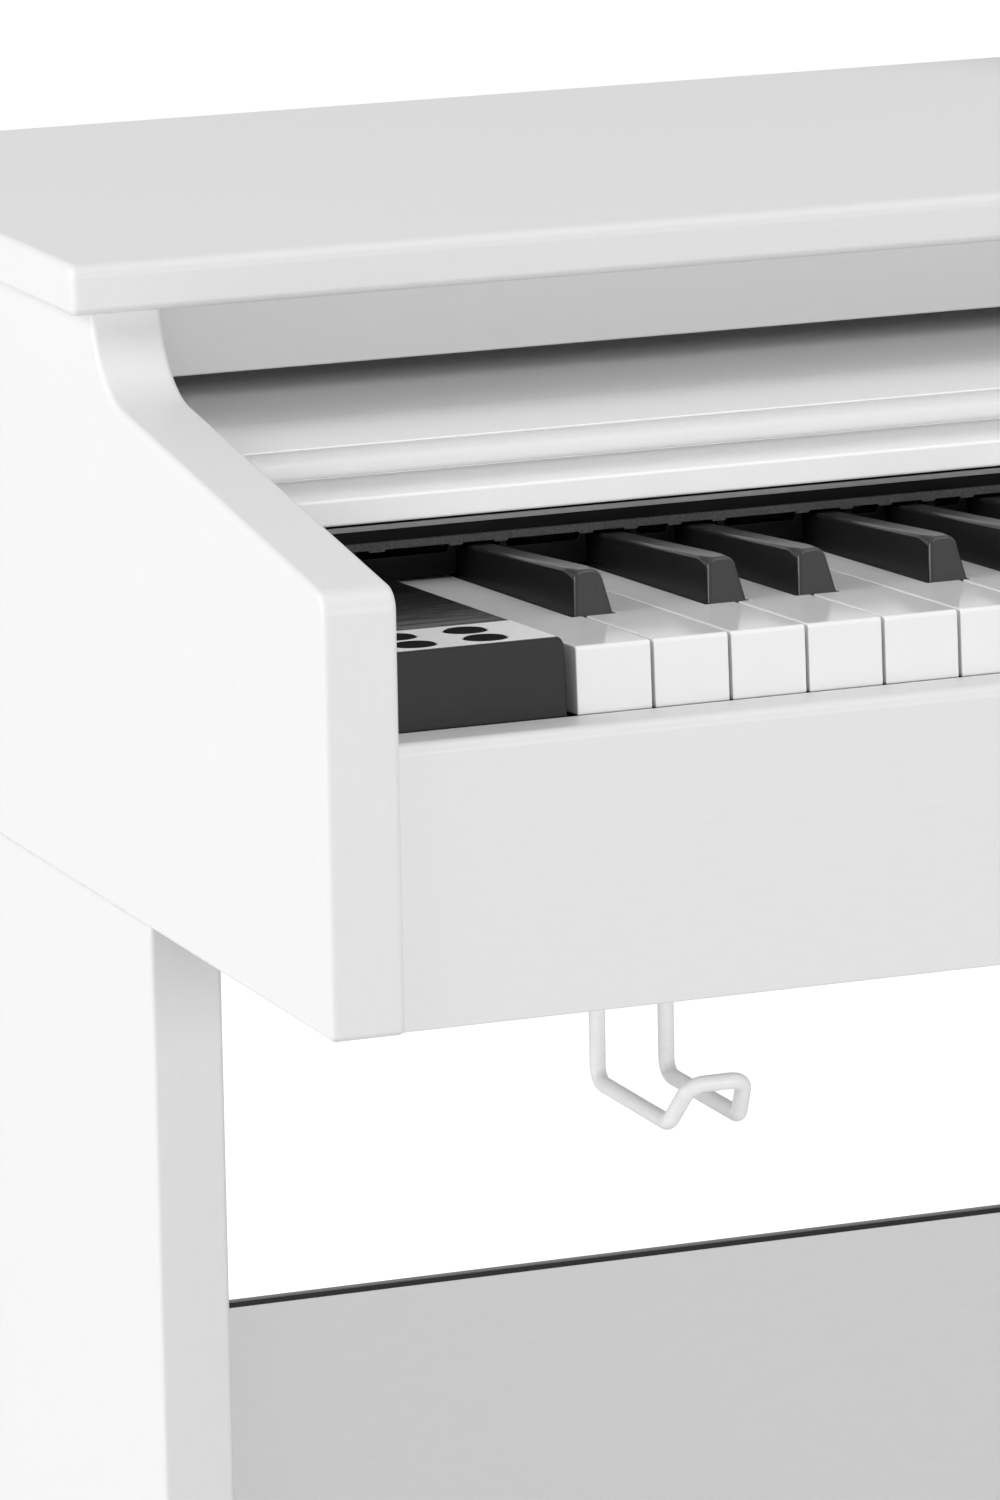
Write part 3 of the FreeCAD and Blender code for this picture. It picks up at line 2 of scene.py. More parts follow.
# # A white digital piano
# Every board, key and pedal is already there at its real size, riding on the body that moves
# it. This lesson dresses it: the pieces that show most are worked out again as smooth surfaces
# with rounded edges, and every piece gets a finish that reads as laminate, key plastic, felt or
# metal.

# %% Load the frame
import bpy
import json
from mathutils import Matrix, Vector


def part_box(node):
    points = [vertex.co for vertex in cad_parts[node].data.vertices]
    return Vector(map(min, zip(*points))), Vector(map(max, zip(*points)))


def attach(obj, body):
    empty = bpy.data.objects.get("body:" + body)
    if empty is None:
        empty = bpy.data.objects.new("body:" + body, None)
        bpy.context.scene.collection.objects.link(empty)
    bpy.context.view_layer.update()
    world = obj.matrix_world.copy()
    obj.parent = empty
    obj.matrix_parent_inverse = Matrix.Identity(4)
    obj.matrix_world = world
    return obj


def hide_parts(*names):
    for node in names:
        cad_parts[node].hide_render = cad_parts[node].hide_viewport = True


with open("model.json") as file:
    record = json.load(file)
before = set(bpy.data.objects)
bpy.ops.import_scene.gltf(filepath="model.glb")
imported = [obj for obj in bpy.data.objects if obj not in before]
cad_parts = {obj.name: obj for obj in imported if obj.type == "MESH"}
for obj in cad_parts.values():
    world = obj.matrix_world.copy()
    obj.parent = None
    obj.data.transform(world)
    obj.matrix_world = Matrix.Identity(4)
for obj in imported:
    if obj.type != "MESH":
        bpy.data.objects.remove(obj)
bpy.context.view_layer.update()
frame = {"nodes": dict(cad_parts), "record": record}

import json
import math

import bmesh
import bpy
import numpy as np
from mathutils import Matrix, Vector

# %% [markdown]
# ## The camera
# The piano is seen from its left end with a very long lens, so upright edges stay nearly
# parallel. The camera looks a little down and is rolled by one degree. Its three directions
# are worked out from those angles.

# %% Camera
MM = 0.001
CAMERA_SEES_TO = 60.0
CAMERA_PLACE = Vector((-1.5238, -2.4671, 1.2331))
CAMERA_YAW, CAMERA_DOWN, CAMERA_ROLL = (math.radians(angle) for angle in (21.47, 12.30, -1.03))
CAMERA_LENS = 215.06


def mm(*lengths):
    """Lengths in millimetres, turned into metres."""
    return [length * MM for length in lengths]


def linked(name, data):
    """A new object of the scene that shows the given data."""
    made = bpy.data.objects.new(name, data)
    bpy.context.scene.collection.objects.link(made)
    return made


def camera_turn(yaw, down, roll):
    """Rotation of a camera: ahead = (sin yaw cos down, cos yaw cos down, -sin down), right is
    level and square to it, up is their cross product, and roll turns right and up together."""
    level = math.cos(down)
    ahead = Vector((math.sin(yaw) * level, math.cos(yaw) * level, -math.sin(down)))
    right = Vector((math.cos(yaw), -math.sin(yaw), 0.0))
    up = right.cross(ahead)
    turned_right = right * math.cos(roll) + up * math.sin(roll)
    turned_up = up * math.cos(roll) - right * math.sin(roll)
    return Matrix((turned_right, turned_up, -ahead)).transposed()


camera = linked("camera", bpy.data.cameras.new("camera"))
camera.data.lens = CAMERA_LENS
camera.data.clip_end = CAMERA_SEES_TO
camera.matrix_world = Matrix.Translation(CAMERA_PLACE) @ camera_turn(
    CAMERA_YAW, CAMERA_DOWN, CAMERA_ROLL).to_4x4()
bpy.context.scene.camera = camera
bpy.context.scene.view_settings.view_transform = "Standard"
print("camera", [round(c, 3) for c in camera.location], "lens", CAMERA_LENS, "mm")

# %% [markdown]
# ## Light, floor and background
# A white piece on white needs light that is even but has a side. The world gives the even
# part. A wide soft lamp on the left makes the left faces the brightest. One in front stands
# low, because the lid shades the boards under it from anything higher, and a weak one above
# keeps the lid apart from the fronts. The background is white because the world and the floor
# look white, not because more light falls on the piano.

# %% Light and floor
WORLD_LIGHT = 0.42
FLOOR_COLOUR, FLOOR_ROUGH, FLOOR_LIFT, FLOOR_HALF = 0.62, 0.9, 0.74, 9.0
# Each lamp has a place, a point to aim at, a width and a height in metres, and a power in watts.
LAMPS = {
    "left_lamp": ((-3.4, 0.15, 1.6), (-0.6, 0.0, 0.7), 2.4, 2.4, 74.0),
    "front_lamp": ((-0.2, -4.0, 1.05), (-0.2, 0.0, 0.7), 4.4, 1.0, 70.0),
    "upper_lamp": ((0.2, -1.0, 3.2), (0.0, 0.0, 0.7), 2.4, 2.0, 24.0),
}


def shading(owner):
    """Nodes and links of a material or of the world."""
    owner.use_nodes = True
    return owner.node_tree.nodes, owner.node_tree.links


def seen_directly(nodes, links):
    """1 for camera, mirror and see-through rays and 0 for light that bounces: the largest of
    the three Light Path outputs."""
    path = nodes.new("ShaderNodeLightPath")
    largest = path.outputs["Is Camera Ray"]
    for ray in ("Is Glossy Ray", "Is Transmission Ray"):
        pair = nodes.new("ShaderNodeMath")
        pair.operation = "MAXIMUM"
        links.new(largest, pair.inputs[0])
        links.new(path.outputs[ray], pair.inputs[1])
        largest = pair.outputs[0]
    return largest


def white_world():
    """World that lights with WORLD_LIGHT and looks pure white."""
    world = bpy.data.worlds.new("studio")
    bpy.context.scene.world = world
    nodes, links = shading(world)
    light, white = nodes["Background"], nodes.new("ShaderNodeBackground")
    pick = nodes.new("ShaderNodeMixShader")
    for background, strength in ((light, WORLD_LIGHT), (white, 1.0)):
        background.inputs["Color"].default_value = (1, 1, 1, 1)
        background.inputs["Strength"].default_value = strength
    links.new(seen_directly(nodes, links), pick.inputs[0])
    links.new(light.outputs[0], pick.inputs[1])
    links.new(white.outputs[0], pick.inputs[2])
    links.new(pick.outputs[0], nodes["World Output"].inputs["Surface"])


def pale_floor():
    """Flat floor at z = 0 that keeps its shadows and looks white where it is lit."""
    corners = FLOOR_HALF * np.array([(-1, -1, 0), (1, -1, 0), (1, 1, 0), (-1, 1, 0)], float)
    mesh = bpy.data.meshes.new("floor")
    mesh.from_pydata(corners.tolist(), [], [(0, 1, 2, 3)])
    floor = linked("floor", mesh)
    material = bpy.data.materials.new("pale_floor")
    nodes, links = shading(material)
    paint, lift = nodes["Principled BSDF"], nodes.new("ShaderNodeEmission")
    both = nodes.new("ShaderNodeAddShader")
    paint.inputs["Base Color"].default_value = (FLOOR_COLOUR, FLOOR_COLOUR, FLOOR_COLOUR, 1)
    paint.inputs["Roughness"].default_value = FLOOR_ROUGH
    strength = nodes.new("ShaderNodeMath")
    strength.operation = "MULTIPLY"
    strength.inputs[1].default_value = FLOOR_LIFT
    links.new(seen_directly(nodes, links), strength.inputs[0])
    links.new(strength.outputs[0], lift.inputs["Strength"])
    links.new(paint.outputs[0], both.inputs[0])
    links.new(lift.outputs[0], both.inputs[1])
    links.new(both.outputs[0], nodes["Material Output"].inputs["Surface"])
    mesh.materials.append(material)


def soft_lamp(name, place, aim, wide, high, power):
    """Rectangular area lamp at place that points at aim."""
    lamp = linked(name, bpy.data.lights.new(name, "AREA"))
    lamp.data.shape = "RECTANGLE"
    lamp.data.size, lamp.data.size_y, lamp.data.energy = wide, high, power
    lamp.location = place
    lamp.rotation_euler = (Vector(aim) - Vector(place)).to_track_quat("-Z", "Y").to_euler()


white_world()
pale_floor()
for name, measures in LAMPS.items():
    soft_lamp(name, *measures)
print("world", WORLD_LIGHT, "floor", FLOOR_COLOUR)

# %% [markdown]
# ## Finishes
# A laminate has a faint long grain, moulded plastic a fine spark texture, and even polished
# key plastic is never quite flat. One helper lays a stretched noise over a piece and uses it
# three times: for a small change of colour, one of roughness and a shallow bump. It reads
# Object coordinates, in metres, so the grain has the same scale on every piece.

# %% Finish helper
NOISE_DETAIL, RAMP_ENDS = 5.0, (0.3, 0.7)


def finish(name, dark, pale, rough, stretch, scale, bump, depth, specular=0.5, metallic=0.0):
    """Principled finish. colour = mix(dark, pale, noise) and roughness = mix(rough, noise), for
    a noise of the given scale on coordinates times stretch; bump and depth (mm) set the relief."""
    material = bpy.data.materials.new(name)
    nodes, links = shading(material)
    shader = nodes["Principled BSDF"]
    shader.inputs["Metallic"].default_value = metallic
    shader.inputs["Specular IOR Level"].default_value = specular
    where, mapping = nodes.new("ShaderNodeTexCoord"), nodes.new("ShaderNodeMapping")
    noise, ramp = nodes.new("ShaderNodeTexNoise"), nodes.new("ShaderNodeValToRGB")
    span, relief = nodes.new("ShaderNodeMapRange"), nodes.new("ShaderNodeBump")
    mapping.inputs["Scale"].default_value = stretch
    noise.inputs["Scale"].default_value = scale
    noise.inputs["Detail"].default_value = NOISE_DETAIL
    for end, place, colour in zip(ramp.color_ramp.elements, RAMP_ENDS, (dark, pale)):
        end.position, end.color = place, (*np.broadcast_to(colour, 3), 1)
    span.inputs["To Min"].default_value, span.inputs["To Max"].default_value = rough
    relief.inputs["Strength"].default_value = bump
    relief.inputs["Distance"].default_value = depth * MM
    links.new(where.outputs["Object"], mapping.inputs["Vector"])
    links.new(mapping.outputs[0], noise.inputs["Vector"])
    for node, entry, goal in ((ramp, "Fac", "Base Color"), (span, "Value", "Roughness"),
                              (relief, "Height", "Normal")):
        links.new(noise.outputs[0], node.inputs[entry])
        links.new(node.outputs[0], shader.inputs[goal])
    return material


# %% The finishes
EVEN, ALONG_X, ALONG_Z, FINE_X = (1, 1, 1), (0.3, 1, 1), (1, 1, 0.3), (0.25, 1, 1)
# Each row: dark and pale end of the colour, span of roughness, stretch and scale of the noise,
# strength and depth (mm) of the relief, and, where they aren't 0.5 and 0, specular and metallic.
FINISH_ROWS = {
    "laminate": (0.700, 0.714, (0.38, 0.44), ALONG_X, 420, 0.03, 0.02),
    "laminate_upright": (0.700, 0.714, (0.38, 0.44), ALONG_Z, 420, 0.03, 0.02),
    # The fallboard's white is partly its own, whiter than the laminate, and partly painted light:
    # it is raised further to make up for the shade under the lid.
    "lacquer": (0.94, 0.98, (0.26, 0.34), EVEN, 1400, 0.3, 0.06, 0.2),
    "ivory": (0.80, 0.82, (0.09, 0.13), EVEN, 60, 0.015, 0.05, 0.4),
    "ebony": (0.010, 0.013, (0.20, 0.28), (1, 0.2, 1), 1100, 0.03, 0.05),
    "moulding": (0.030, 0.038, (0.45, 0.60), EVEN, 1600, 0.20, 0.05),
    "gloss_black": (0.004, 0.010, (0.08, 0.20), ALONG_X, 120, 0.5, 0.40, 0.08),
    "gloss_cover": (0.003, 0.006, (0.25, 0.38), FINE_X, 300, 0.15, 0.08, 0.06),
    "cheek_gloss": (0.009, 0.013, (0.34, 0.46), ALONG_X, 500, 0.10, 0.06, 0.2),
    "pale_plate": (0.78, 0.82, (0.30, 0.40), (0.1, 1, 1), 1200, 0.08, 0.03),
    "button_black": (0.016, 0.026, (0.5, 0.6), EVEN, 1500, 0.15, 0.04, 0.0),
    "felt": (0.055, 0.105, (0.85, 0.95), EVEN, 1400, 0.9, 0.5),
    "edge_black": (0.010, 0.016, (0.35, 0.50), ALONG_X, 900, 0.1, 0.04, 0.2),
    # The grey row below is a painted highlight: it colours the cover's top front edge as if that
    # edge caught the light.
    "painted_highlight_grey": (0.27, 0.32, (0.25, 0.35), ALONG_X, 900, 0.1, 0.03),
    "wire_white": (0.80, 0.84, (0.28, 0.38), EVEN, 500, 0.12, 0.06),
    "steel": (0.45, 0.58, (0.25, 0.40), ALONG_X, 700, 0.1, 0.05, 0.5, 1.0),
    "brass": ((0.62, 0.45, 0.17), (0.74, 0.56, 0.25), (0.12, 0.26), (1, 0.1, 1), 500,
              0.08, 0.04, 0.5, 1.0),
    "board_green": ((0.01, 0.06, 0.025), (0.02, 0.10, 0.04), (0.35, 0.5), EVEN, 300, 0.3, 0.1),
    "rubber": (0.02, 0.03, (0.6, 0.75), EVEN, 900, 0.3, 0.1),
    "cone": (0.02, 0.035, (0.55, 0.7), EVEN, 700, 0.4, 0.1),
}
FINISHES = {name: finish(name, *row) for name, row in FINISH_ROWS.items()}
# Slots that aren't in this table have a finish of the same name.
SLOT_FINISH = {
    "white_laminate": "laminate", "board_edge": "edge_black", "black_moulding": "moulding",
    "hook_wire": "wire_white", "circuit_board": "board_green", "speaker_cone": "cone",
    "black_rubber": "rubber",
}
for part in frame["record"]["subparts"]:
    node, slot = frame["nodes"][part["node"]], part["material_slot"]
    node.data.materials.clear()
    node.data.materials.append(FINISHES[SLOT_FINISH.get(slot, slot)])
print("finishes:", len(FINISHES))

# %% [markdown]
# ## Surfaces from outlines
# Nearly every piece of a piano is an outline carried along a straight line: a side board is
# its side view carried across its thickness, and so is a key. The helpers below round an
# outline's corners, draw it in by a distance, and carry it along an axis while drawing it in
# near both ends by a quarter circle.

# %% Outline helpers
FINEST = 0.02 * MM


def unit(vectors):
    """Each row divided by its length."""
    return vectors / np.maximum(np.linalg.norm(vectors, axis=-1, keepdims=True), 1e-12)


def corner_arcs(here, back, ahead, radius, steps):
    """Arcs (n, steps, d) at corners, given the directions back and ahead along their sides. At
    a corner with half angle h between its sides, the arc's centre is radius / sin h along the
    bisector and the arc runs between the points radius / tan h along each side, at even
    angles."""
    half = np.arccos(np.clip((back * ahead).sum(1, keepdims=True), -1, 1)) / 2
    centre = here + unit(back + ahead) * radius / np.sin(half)
    first = (here + back * radius / np.tan(half) - centre)[:, None]
    last = (here + ahead * radius / np.tan(half) - centre)[:, None]
    sweep, t = np.pi - 2 * half[:, None], np.linspace(0, 1, steps)[None, :, None]
    arc = (first * np.sin((1 - t) * sweep) + last * np.sin(t * sweep)) / np.sin(sweep)
    return centre[:, None] + arc


def rounded(corners, steps=8):
    """Closed outline (n, 2) with an arc at each corner, from rows of (a, b, radius)."""
    rows = np.array(corners, float)
    point, radius = rows[:, :2], np.maximum(rows[:, 2:], FINEST)
    back, ahead = unit(np.roll(point, 1, 0) - point), unit(np.roll(point, -1, 0) - point)
    return corner_arcs(point, back, ahead, radius, steps).reshape(-1, 2)


def drawn_in(corners, distance):
    """The same rows moved inwards by a distance. A corner moves along the sum of its two
    sides' inward normals divided by one plus their dot product. Its radius shrinks by the
    distance where the outline turns outwards and grows by it in a hollow."""
    rows = np.array(corners, float)
    after = np.roll(rows, -1, 0)
    way = np.sign((rows[:, 0] * after[:, 1] - after[:, 0] * rows[:, 1]).sum())
    ahead = unit(after[:, :2] - rows[:, :2])
    behind = np.roll(ahead, 1, 0)
    normal = way * np.stack([-ahead[:, 1], ahead[:, 0]], 1)
    before = np.roll(normal, 1, 0)
    turn = np.sign(way * (behind[:, 0] * ahead[:, 1] - behind[:, 1] * ahead[:, 0]))
    shrink = 1 + (normal * before).sum(1, keepdims=True)
    moved = rows[:, :2] + distance * (normal + before) / shrink
    return np.column_stack([moved, np.maximum(rows[:, 2] - turn * distance, FINEST)])


AXES = {"x": (2, 0, 1), "y": (0, 2, 1), "z": (0, 1, 2)}


def carried(corners, axis, low, high, edge_low, edge_high, steps=6, arc=8):
    """Points (rings, n, 3) of an outline carried along an axis from low to high. With an angle
    f from 90 to 0 degrees at the low end, a ring lies at low + edge (1 - sin f) and is drawn in
    by edge (1 - cos f); the high end is the same the other way round."""
    angle = np.linspace(np.pi / 2, 0, steps)
    place = np.concatenate([low + edge_low * (1 - np.sin(angle)),
                            high - edge_high * (1 - np.sin(angle[::-1]))])
    inset = np.concatenate([edge_low * (1 - np.cos(angle)),
                            edge_high * (1 - np.cos(angle[::-1]))])
    rings = [np.column_stack([rounded(drawn_in(corners, d), arc), np.full(len(corners) * arc, s)])
             for d, s in zip(inset, place)]
    return np.array(rings)[..., AXES[axis]]


def across(outline, low, high, edge, steps=6, arc=8):
    """A side view (y, z) carried across the piano from low.x to high.x, both ends alike."""
    return carried(outline, "x", low.x, high.x, edge, edge, steps, arc)


def box_outline(a0, a1, b0, b1, radii):
    """Rectangle with a radius for each corner, from (a0, b0) round through (a1, b1)."""
    places = [(a0, b0), (a1, b0), (a1, b1), (a0, b1)]
    return [(a, b, r) for (a, b), r in zip(places, radii)]


def notched(front, rear, low, high, rod, half, roof, radius=0):
    """Side view (y, z) of a block that hooks over a rod: a slot of the given half width is cut
    up from its lower edge to the roof. The radius is that of the block's outer corners."""
    return [(front, low, radius), (rod - half, low, 0), (rod - half, roof, 0),
            (rod + half, roof, 0), (rod + half, low, 0), (rear, low, radius),
            (rear, high, radius), (front, high, radius)]


def turned_about(points, y0, z0, angle):
    """Points turned about a line along x: y' = y cos + z sin and z' = -y sin + z cos, with y
    and z measured from (y0, z0)."""
    y, z = points[..., 1] - y0, points[..., 2] - z0
    moved = points.copy()
    moved[..., 1] = y0 + y * math.cos(angle) + z * math.sin(angle)
    moved[..., 2] = z0 - y * math.sin(angle) + z * math.cos(angle)
    return moved


# %% Mesh helpers
SHARP = math.radians(32)
FLAT_WEIGHT = 80
WELD = 0.002 * MM


def quads(index):
    """Faces (n, 4) between neighbouring rows of a table of point numbers; rows are rings."""
    after = np.roll(index, -1, 1)
    return np.stack([index[:-1], after[:-1], after[1:], index[1:]], -1).reshape(-1, 4)


def skin(rings, first=0):
    """Faces of a closed skin over rings (r, n, 3): quads between neighbouring rings, which
    close on themselves, and one many-sided face at each end. Numbers start at first."""
    count, size = rings.shape[:2]
    index = np.arange(count * size).reshape(count, size) + first
    return quads(index).tolist() + [index[0, ::-1].tolist(), index[-1].tolist()]


def piece(name, skins, finish_name, body="root", replaces=()):
    """One object from a list of closed skins, each (rings, n, 3), smooth between its sharp
    edges, with its faces turned outwards, riding on a body and standing for its CAD nodes."""
    points, faces = [], []
    for rings in skins:
        faces += skin(rings, sum(len(p) for p in points))
        points.append(rings.reshape(-1, 3))
    finished(name, np.concatenate(points), faces, finish_name, body, replaces)


def dressed(node, skins, finish_name, body="root"):
    """A piece that stands for one CAD node and is named after it."""
    piece(node + "_dressed", skins, finish_name, body, [node])


def finished(name, points, faces, finish_name, body, replaces):
    """One object from points and faces, turned outwards and smooth, with its finish and its
    body. The larger faces set the normals at a rounded edge, so that a board stays flat right
    up to it."""
    mesh = bpy.data.meshes.new(name)
    mesh.from_pydata(points.tolist(), [], faces)
    work = bmesh.new()
    work.from_mesh(mesh)
    bmesh.ops.remove_doubles(work, verts=work.verts, dist=WELD)
    bmesh.ops.recalc_face_normals(work, faces=work.faces)
    work.to_mesh(mesh)
    work.free()
    mesh.shade_smooth()
    mesh.set_sharp_from_angle(angle=SHARP)
    mesh.materials.append(FINISHES[finish_name])
    made = linked(name, mesh)
    flat = made.modifiers.new("flat_faces", "WEIGHTED_NORMAL")
    flat.keep_sharp, flat.weight = True, FLAT_WEIGHT
    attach(made, body)
    if replaces:
        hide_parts(*replaces)


print("helpers ready")

# %% [markdown]
# ## Shared measures
# The frame says where each node is. The few values below are the ones that a box can't tell,
# such as radii and the shapes of notches. All lengths are in metres.

# %% Measures
ARM_LOW, ARM_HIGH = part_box("left_arm")
SLIP_LOW, SLIP_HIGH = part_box("key_slip")
TOP_LOW, TOP_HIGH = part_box("top_board")
COVER_LOW, COVER_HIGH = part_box("rear_key_cover")
INNER_HALF = -ARM_HIGH.x
PITCH = 23.5 * MM
WHITE_COUNT = 52
KEY_LEFT = -PITCH * WHITE_COUNT / 2
KEY_GAP = 1.0 * MM
KEY_FRONT = SLIP_HIGH.y + 2.1 * MM
KEY_TOP = SLIP_LOW.z + 100.2 * MM
KEY_SHOWN = COVER_LOW.y - KEY_FRONT
KEY_TILT = math.radians(2.86)
print("keys start at", round(KEY_FRONT, 4), round(KEY_TOP, 4), "shown", round(KEY_SHOWN, 4))

# %% [markdown]
# ## Side boards
# The arm is a board cut to a curve: an upright front, a rounded nose, a slope beside the keys
# and a hollow up into the upright edge below the lid. A table of corners with radii says it
# all. The edges are rounded by a little under two millimetres, and the top runs into the lid
# so that no gap shows.

# %% Arms
ARM_SLOPE = math.radians(8.65)
ARM_NOSE = 125.5 * MM
ARM_UPRIGHT = ARM_LOW.y + 188.1 * MM
BOARD_EDGE = 1.8 * MM
NOSE_ROUND, HOLLOW_ROUND = mm(7, 28)
SWEEP_STEPS = 14


def arm_outline():
    """Side view of an arm as (y, z) corners; the slope rises by tan(8.65 degrees) times its
    run from the nose to the upright edge."""
    nose = ARM_LOW.z + ARM_NOSE
    hollow = nose + (ARM_UPRIGHT - ARM_LOW.y) * math.tan(ARM_SLOPE)
    high = ARM_HIGH.z + BOARD_EDGE
    return [(ARM_HIGH.y, ARM_LOW.z, 1 * MM), (ARM_LOW.y, ARM_LOW.z, BOARD_EDGE),
            (ARM_LOW.y, nose, NOSE_ROUND), (ARM_UPRIGHT, hollow, HOLLOW_ROUND),
            (ARM_UPRIGHT, high, 0), (ARM_HIGH.y, high, 0)]


for node in ("left_arm", "right_arm"):
    board = across(arm_outline(), *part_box(node), BOARD_EDGE, arc=SWEEP_STEPS)
    dressed(node, [board], "laminate_upright")
print("arms from", round(ARM_LOW.y, 4), "to", round(ARM_HIGH.y, 4))

# %% [markdown]
# ## Lid, slip and fascia
# The lid is a flat board whose edges are rounded, the top front one most. The key slip in front
# of the keys is the board that the player's wrists see: its top front edge is rounded more
# than the rest. The fascia under the lid is set back behind the arms.

# %% Long boards
# Each edge radius of a board is given in the order low front, low rear, top rear, top front.
LID_EDGE = 2.4 * MM
LONG_BOARDS = (
    ("lid", "top_board", 0.0, (LID_EDGE, MM, LID_EDGE, 4.2 * MM), LID_EDGE),
    ("slip_board", "key_slip", 0.0, mm(0.5, 0.5, 1, 3.5), 0.4 * MM),
    ("fascia", "upper_front_panel", MM, (0.6 * MM, MM, 0, 0), 0.3 * MM),
)
for name, node, into_lid, radii, ends in LONG_BOARDS:
    low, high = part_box(node)
    outline = box_outline(low.y, high.y, low.z, high.z + into_lid, radii)
    piece(name, [across(outline, low, high, ends)], "laminate", replaces=[node])
print("lid", round(TOP_HIGH.x - TOP_LOW.x, 3), "wide")

# %% [markdown]
# ## Stand
# Each side of the stand is one board with a low foot that reaches forward. The thin board
# across the back is finished with a dark strip along its top edge, which is bevelled towards
# the back.

# %% Stand boards
FOOT_REACH, FOOT_TOP, FOOT_SWEEP, FOOT_NOSE = mm(128, 51, 34, 14)
STAND_EDGE, THIN_EDGE = mm(1.5, 0.2)
TRIM_BEVEL, TRIM_REAR = mm(1.5, 0.15)


def stand_outline(low, high):
    """Side view of a stand board as (y, z) corners: foot, sweep up and upright edge."""
    front = low.y + FOOT_REACH
    top = high.z + 0.5 * MM
    return [(high.y, low.z, 2 * MM), (low.y, low.z, 4 * MM), (low.y, FOOT_TOP, FOOT_NOSE),
            (front, FOOT_TOP, FOOT_SWEEP), (front, top, 0), (high.y, top, 0)]


for node in ("left_stand_panel", "right_stand_panel"):
    low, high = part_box(node)
    board = across(stand_outline(low, high), low, high, STAND_EDGE, arc=SWEEP_STEPS)
    dressed(node, [board], "laminate_upright")
low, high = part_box("stand_back_board")
outline = box_outline(low.y, high.y, low.z, high.z, [THIN_EDGE] * 4)
dressed("stand_back_board", [across(outline, low, high, THIN_EDGE)], "laminate")
low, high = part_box("back_board_trim")
outline = [(low.y, low.z, 0), (high.y, low.z, 0), (high.y, low.z + TRIM_REAR, 0.05 * MM),
           (low.y + TRIM_BEVEL, high.z, 1 * MM), (low.y, high.z, 0.3 * MM)]
dressed("back_board_trim", [across(outline, low, high, THIN_EDGE)], "edge_black")
print("stand done")

# %% [markdown]
# ## White keys
# A white key is a full-width head in front and a narrower waist that makes room for the black
# keys beside it. Both are side views carried across, so the round front edge and the thin
# round edges that catch the light between two keys come from one helper. The keyboard falls
# gently towards the back, so each key is turned about its front top edge. Behind the playing
# area a plain tail hooks over the pivot rod.

# %% Key places
SHARP_SHIFT = {"C": -2.35 * MM, "D": 2.35 * MM, "F": -3.36 * MM, "G": 0.0, "A": 3.36 * MM}
NOTES = "ABCDEFG"
BLACK_BASE, BLACK_TOP, BLACK_HEIGHT = mm(12, 8, 12.6)
WHITE_HEAD = 50.0 * MM
KEY_REAR = KEY_SHOWN + 6.0 * MM
KEY_DEPTH, WAIST_DEPTH, KEY_EDGE, KEY_NOSE = mm(19.5, 15, 0.4, 1.2)
WAIST_LAP, WAIST_DROP, TAIL_LAP = mm(0.6, 0.02, 4)
ROD_BACK, ROD_DOWN, ROD_SLOT = mm(225, 12, 2.55)
TAIL_END, TAIL_DOWN = mm(233, 3)


def sharp_x(index):
    """Middle of the black key over white key number index, or None where there is none."""
    shift = SHARP_SHIFT.get(NOTES[index % 7])
    if shift is None or not 0 <= index < WHITE_COUNT - 1:
        return None
    return KEY_LEFT + (index + 1) * PITCH + shift


def sharps(members):
    """Middles of the black keys over the given white keys."""
    return [x for x in map(sharp_x, members) if x is not None]


def tilted(points):
    """Points turned by the keyboard's fall about the front top edge of the keys."""
    return turned_about(points, KEY_FRONT, KEY_TOP, KEY_TILT)


def head(index):
    """Left and right side of the full-width part of a white key."""
    x0 = KEY_LEFT + index * PITCH + KEY_GAP / 2
    return x0, x0 + PITCH - KEY_GAP


def waist(index):
    """Left and right side of the narrow part of a white key between its black neighbours."""
    left, right = sharp_x(index - 1), sharp_x(index)
    x0, x1 = head(index)
    room = BLACK_BASE / 2 + MM
    return x0 if left is None else left + room, x1 if right is None else right - room


def white_key(index):
    """One white key as two skins that meet where the black keys begin. Each is a side view
    (y, z) carried across: the head with its round front top edge, and the waist."""
    join, rear = KEY_FRONT + WHITE_HEAD, KEY_FRONT + KEY_REAR
    low, top = KEY_TOP - WAIST_DEPTH, KEY_TOP - WAIST_DROP
    front = box_outline(KEY_FRONT, join, KEY_TOP - KEY_DEPTH, KEY_TOP, (KEY_EDGE, 0, 0, KEY_NOSE))
    back = box_outline(join - WAIST_LAP, rear, low, top, [0] * 4)
    return [tilted(carried(outline, "x", *span, KEY_EDGE, KEY_EDGE, 5, arc))
            for outline, span, arc in ((front, head(index), 8), (back, waist(index), 2))]


def key_tail(x0, x1):
    """The hidden rear of a key under the cover, with the slot that hooks over the pivot rod:
    its side outline carried across from x0 to x1."""
    corners = notched(KEY_FRONT + KEY_REAR - TAIL_LAP, KEY_FRONT + TAIL_END,
                      KEY_TOP - WAIST_DEPTH, KEY_TOP - TAIL_DOWN, KEY_FRONT + ROD_BACK,
                      ROD_SLOT, KEY_TOP - ROD_DOWN + ROD_SLOT)
    return tilted(carried(corners, "x", x0, x1, 0.0, 0.0, 1, 2))


# %% Key groups
SINGLE_WHITES = 6
GROUPS = ("low", "middle", "high")


def key_sets():
    """Which white keys each node holds: the lowest ones alone, then three equal groups.
    Returns rows of (white node, black node, indices)."""
    rows = []
    for index in range(SINGLE_WHITES):
        letter, octave = NOTES[index % 7].lower(), 0 if index < 2 else 1
        rows.append((f"white_key_{letter}{octave}", f"black_key_{letter}_sharp{octave}", [index]))
    rest = range(SINGLE_WHITES, WHITE_COUNT)
    share = math.ceil(len(rest) / len(GROUPS))
    for number, name in enumerate(GROUPS):
        members = rest[number * share:(number + 1) * share]
        rows.append((f"white_keys_{name}", f"black_keys_{name}", members))
    return rows


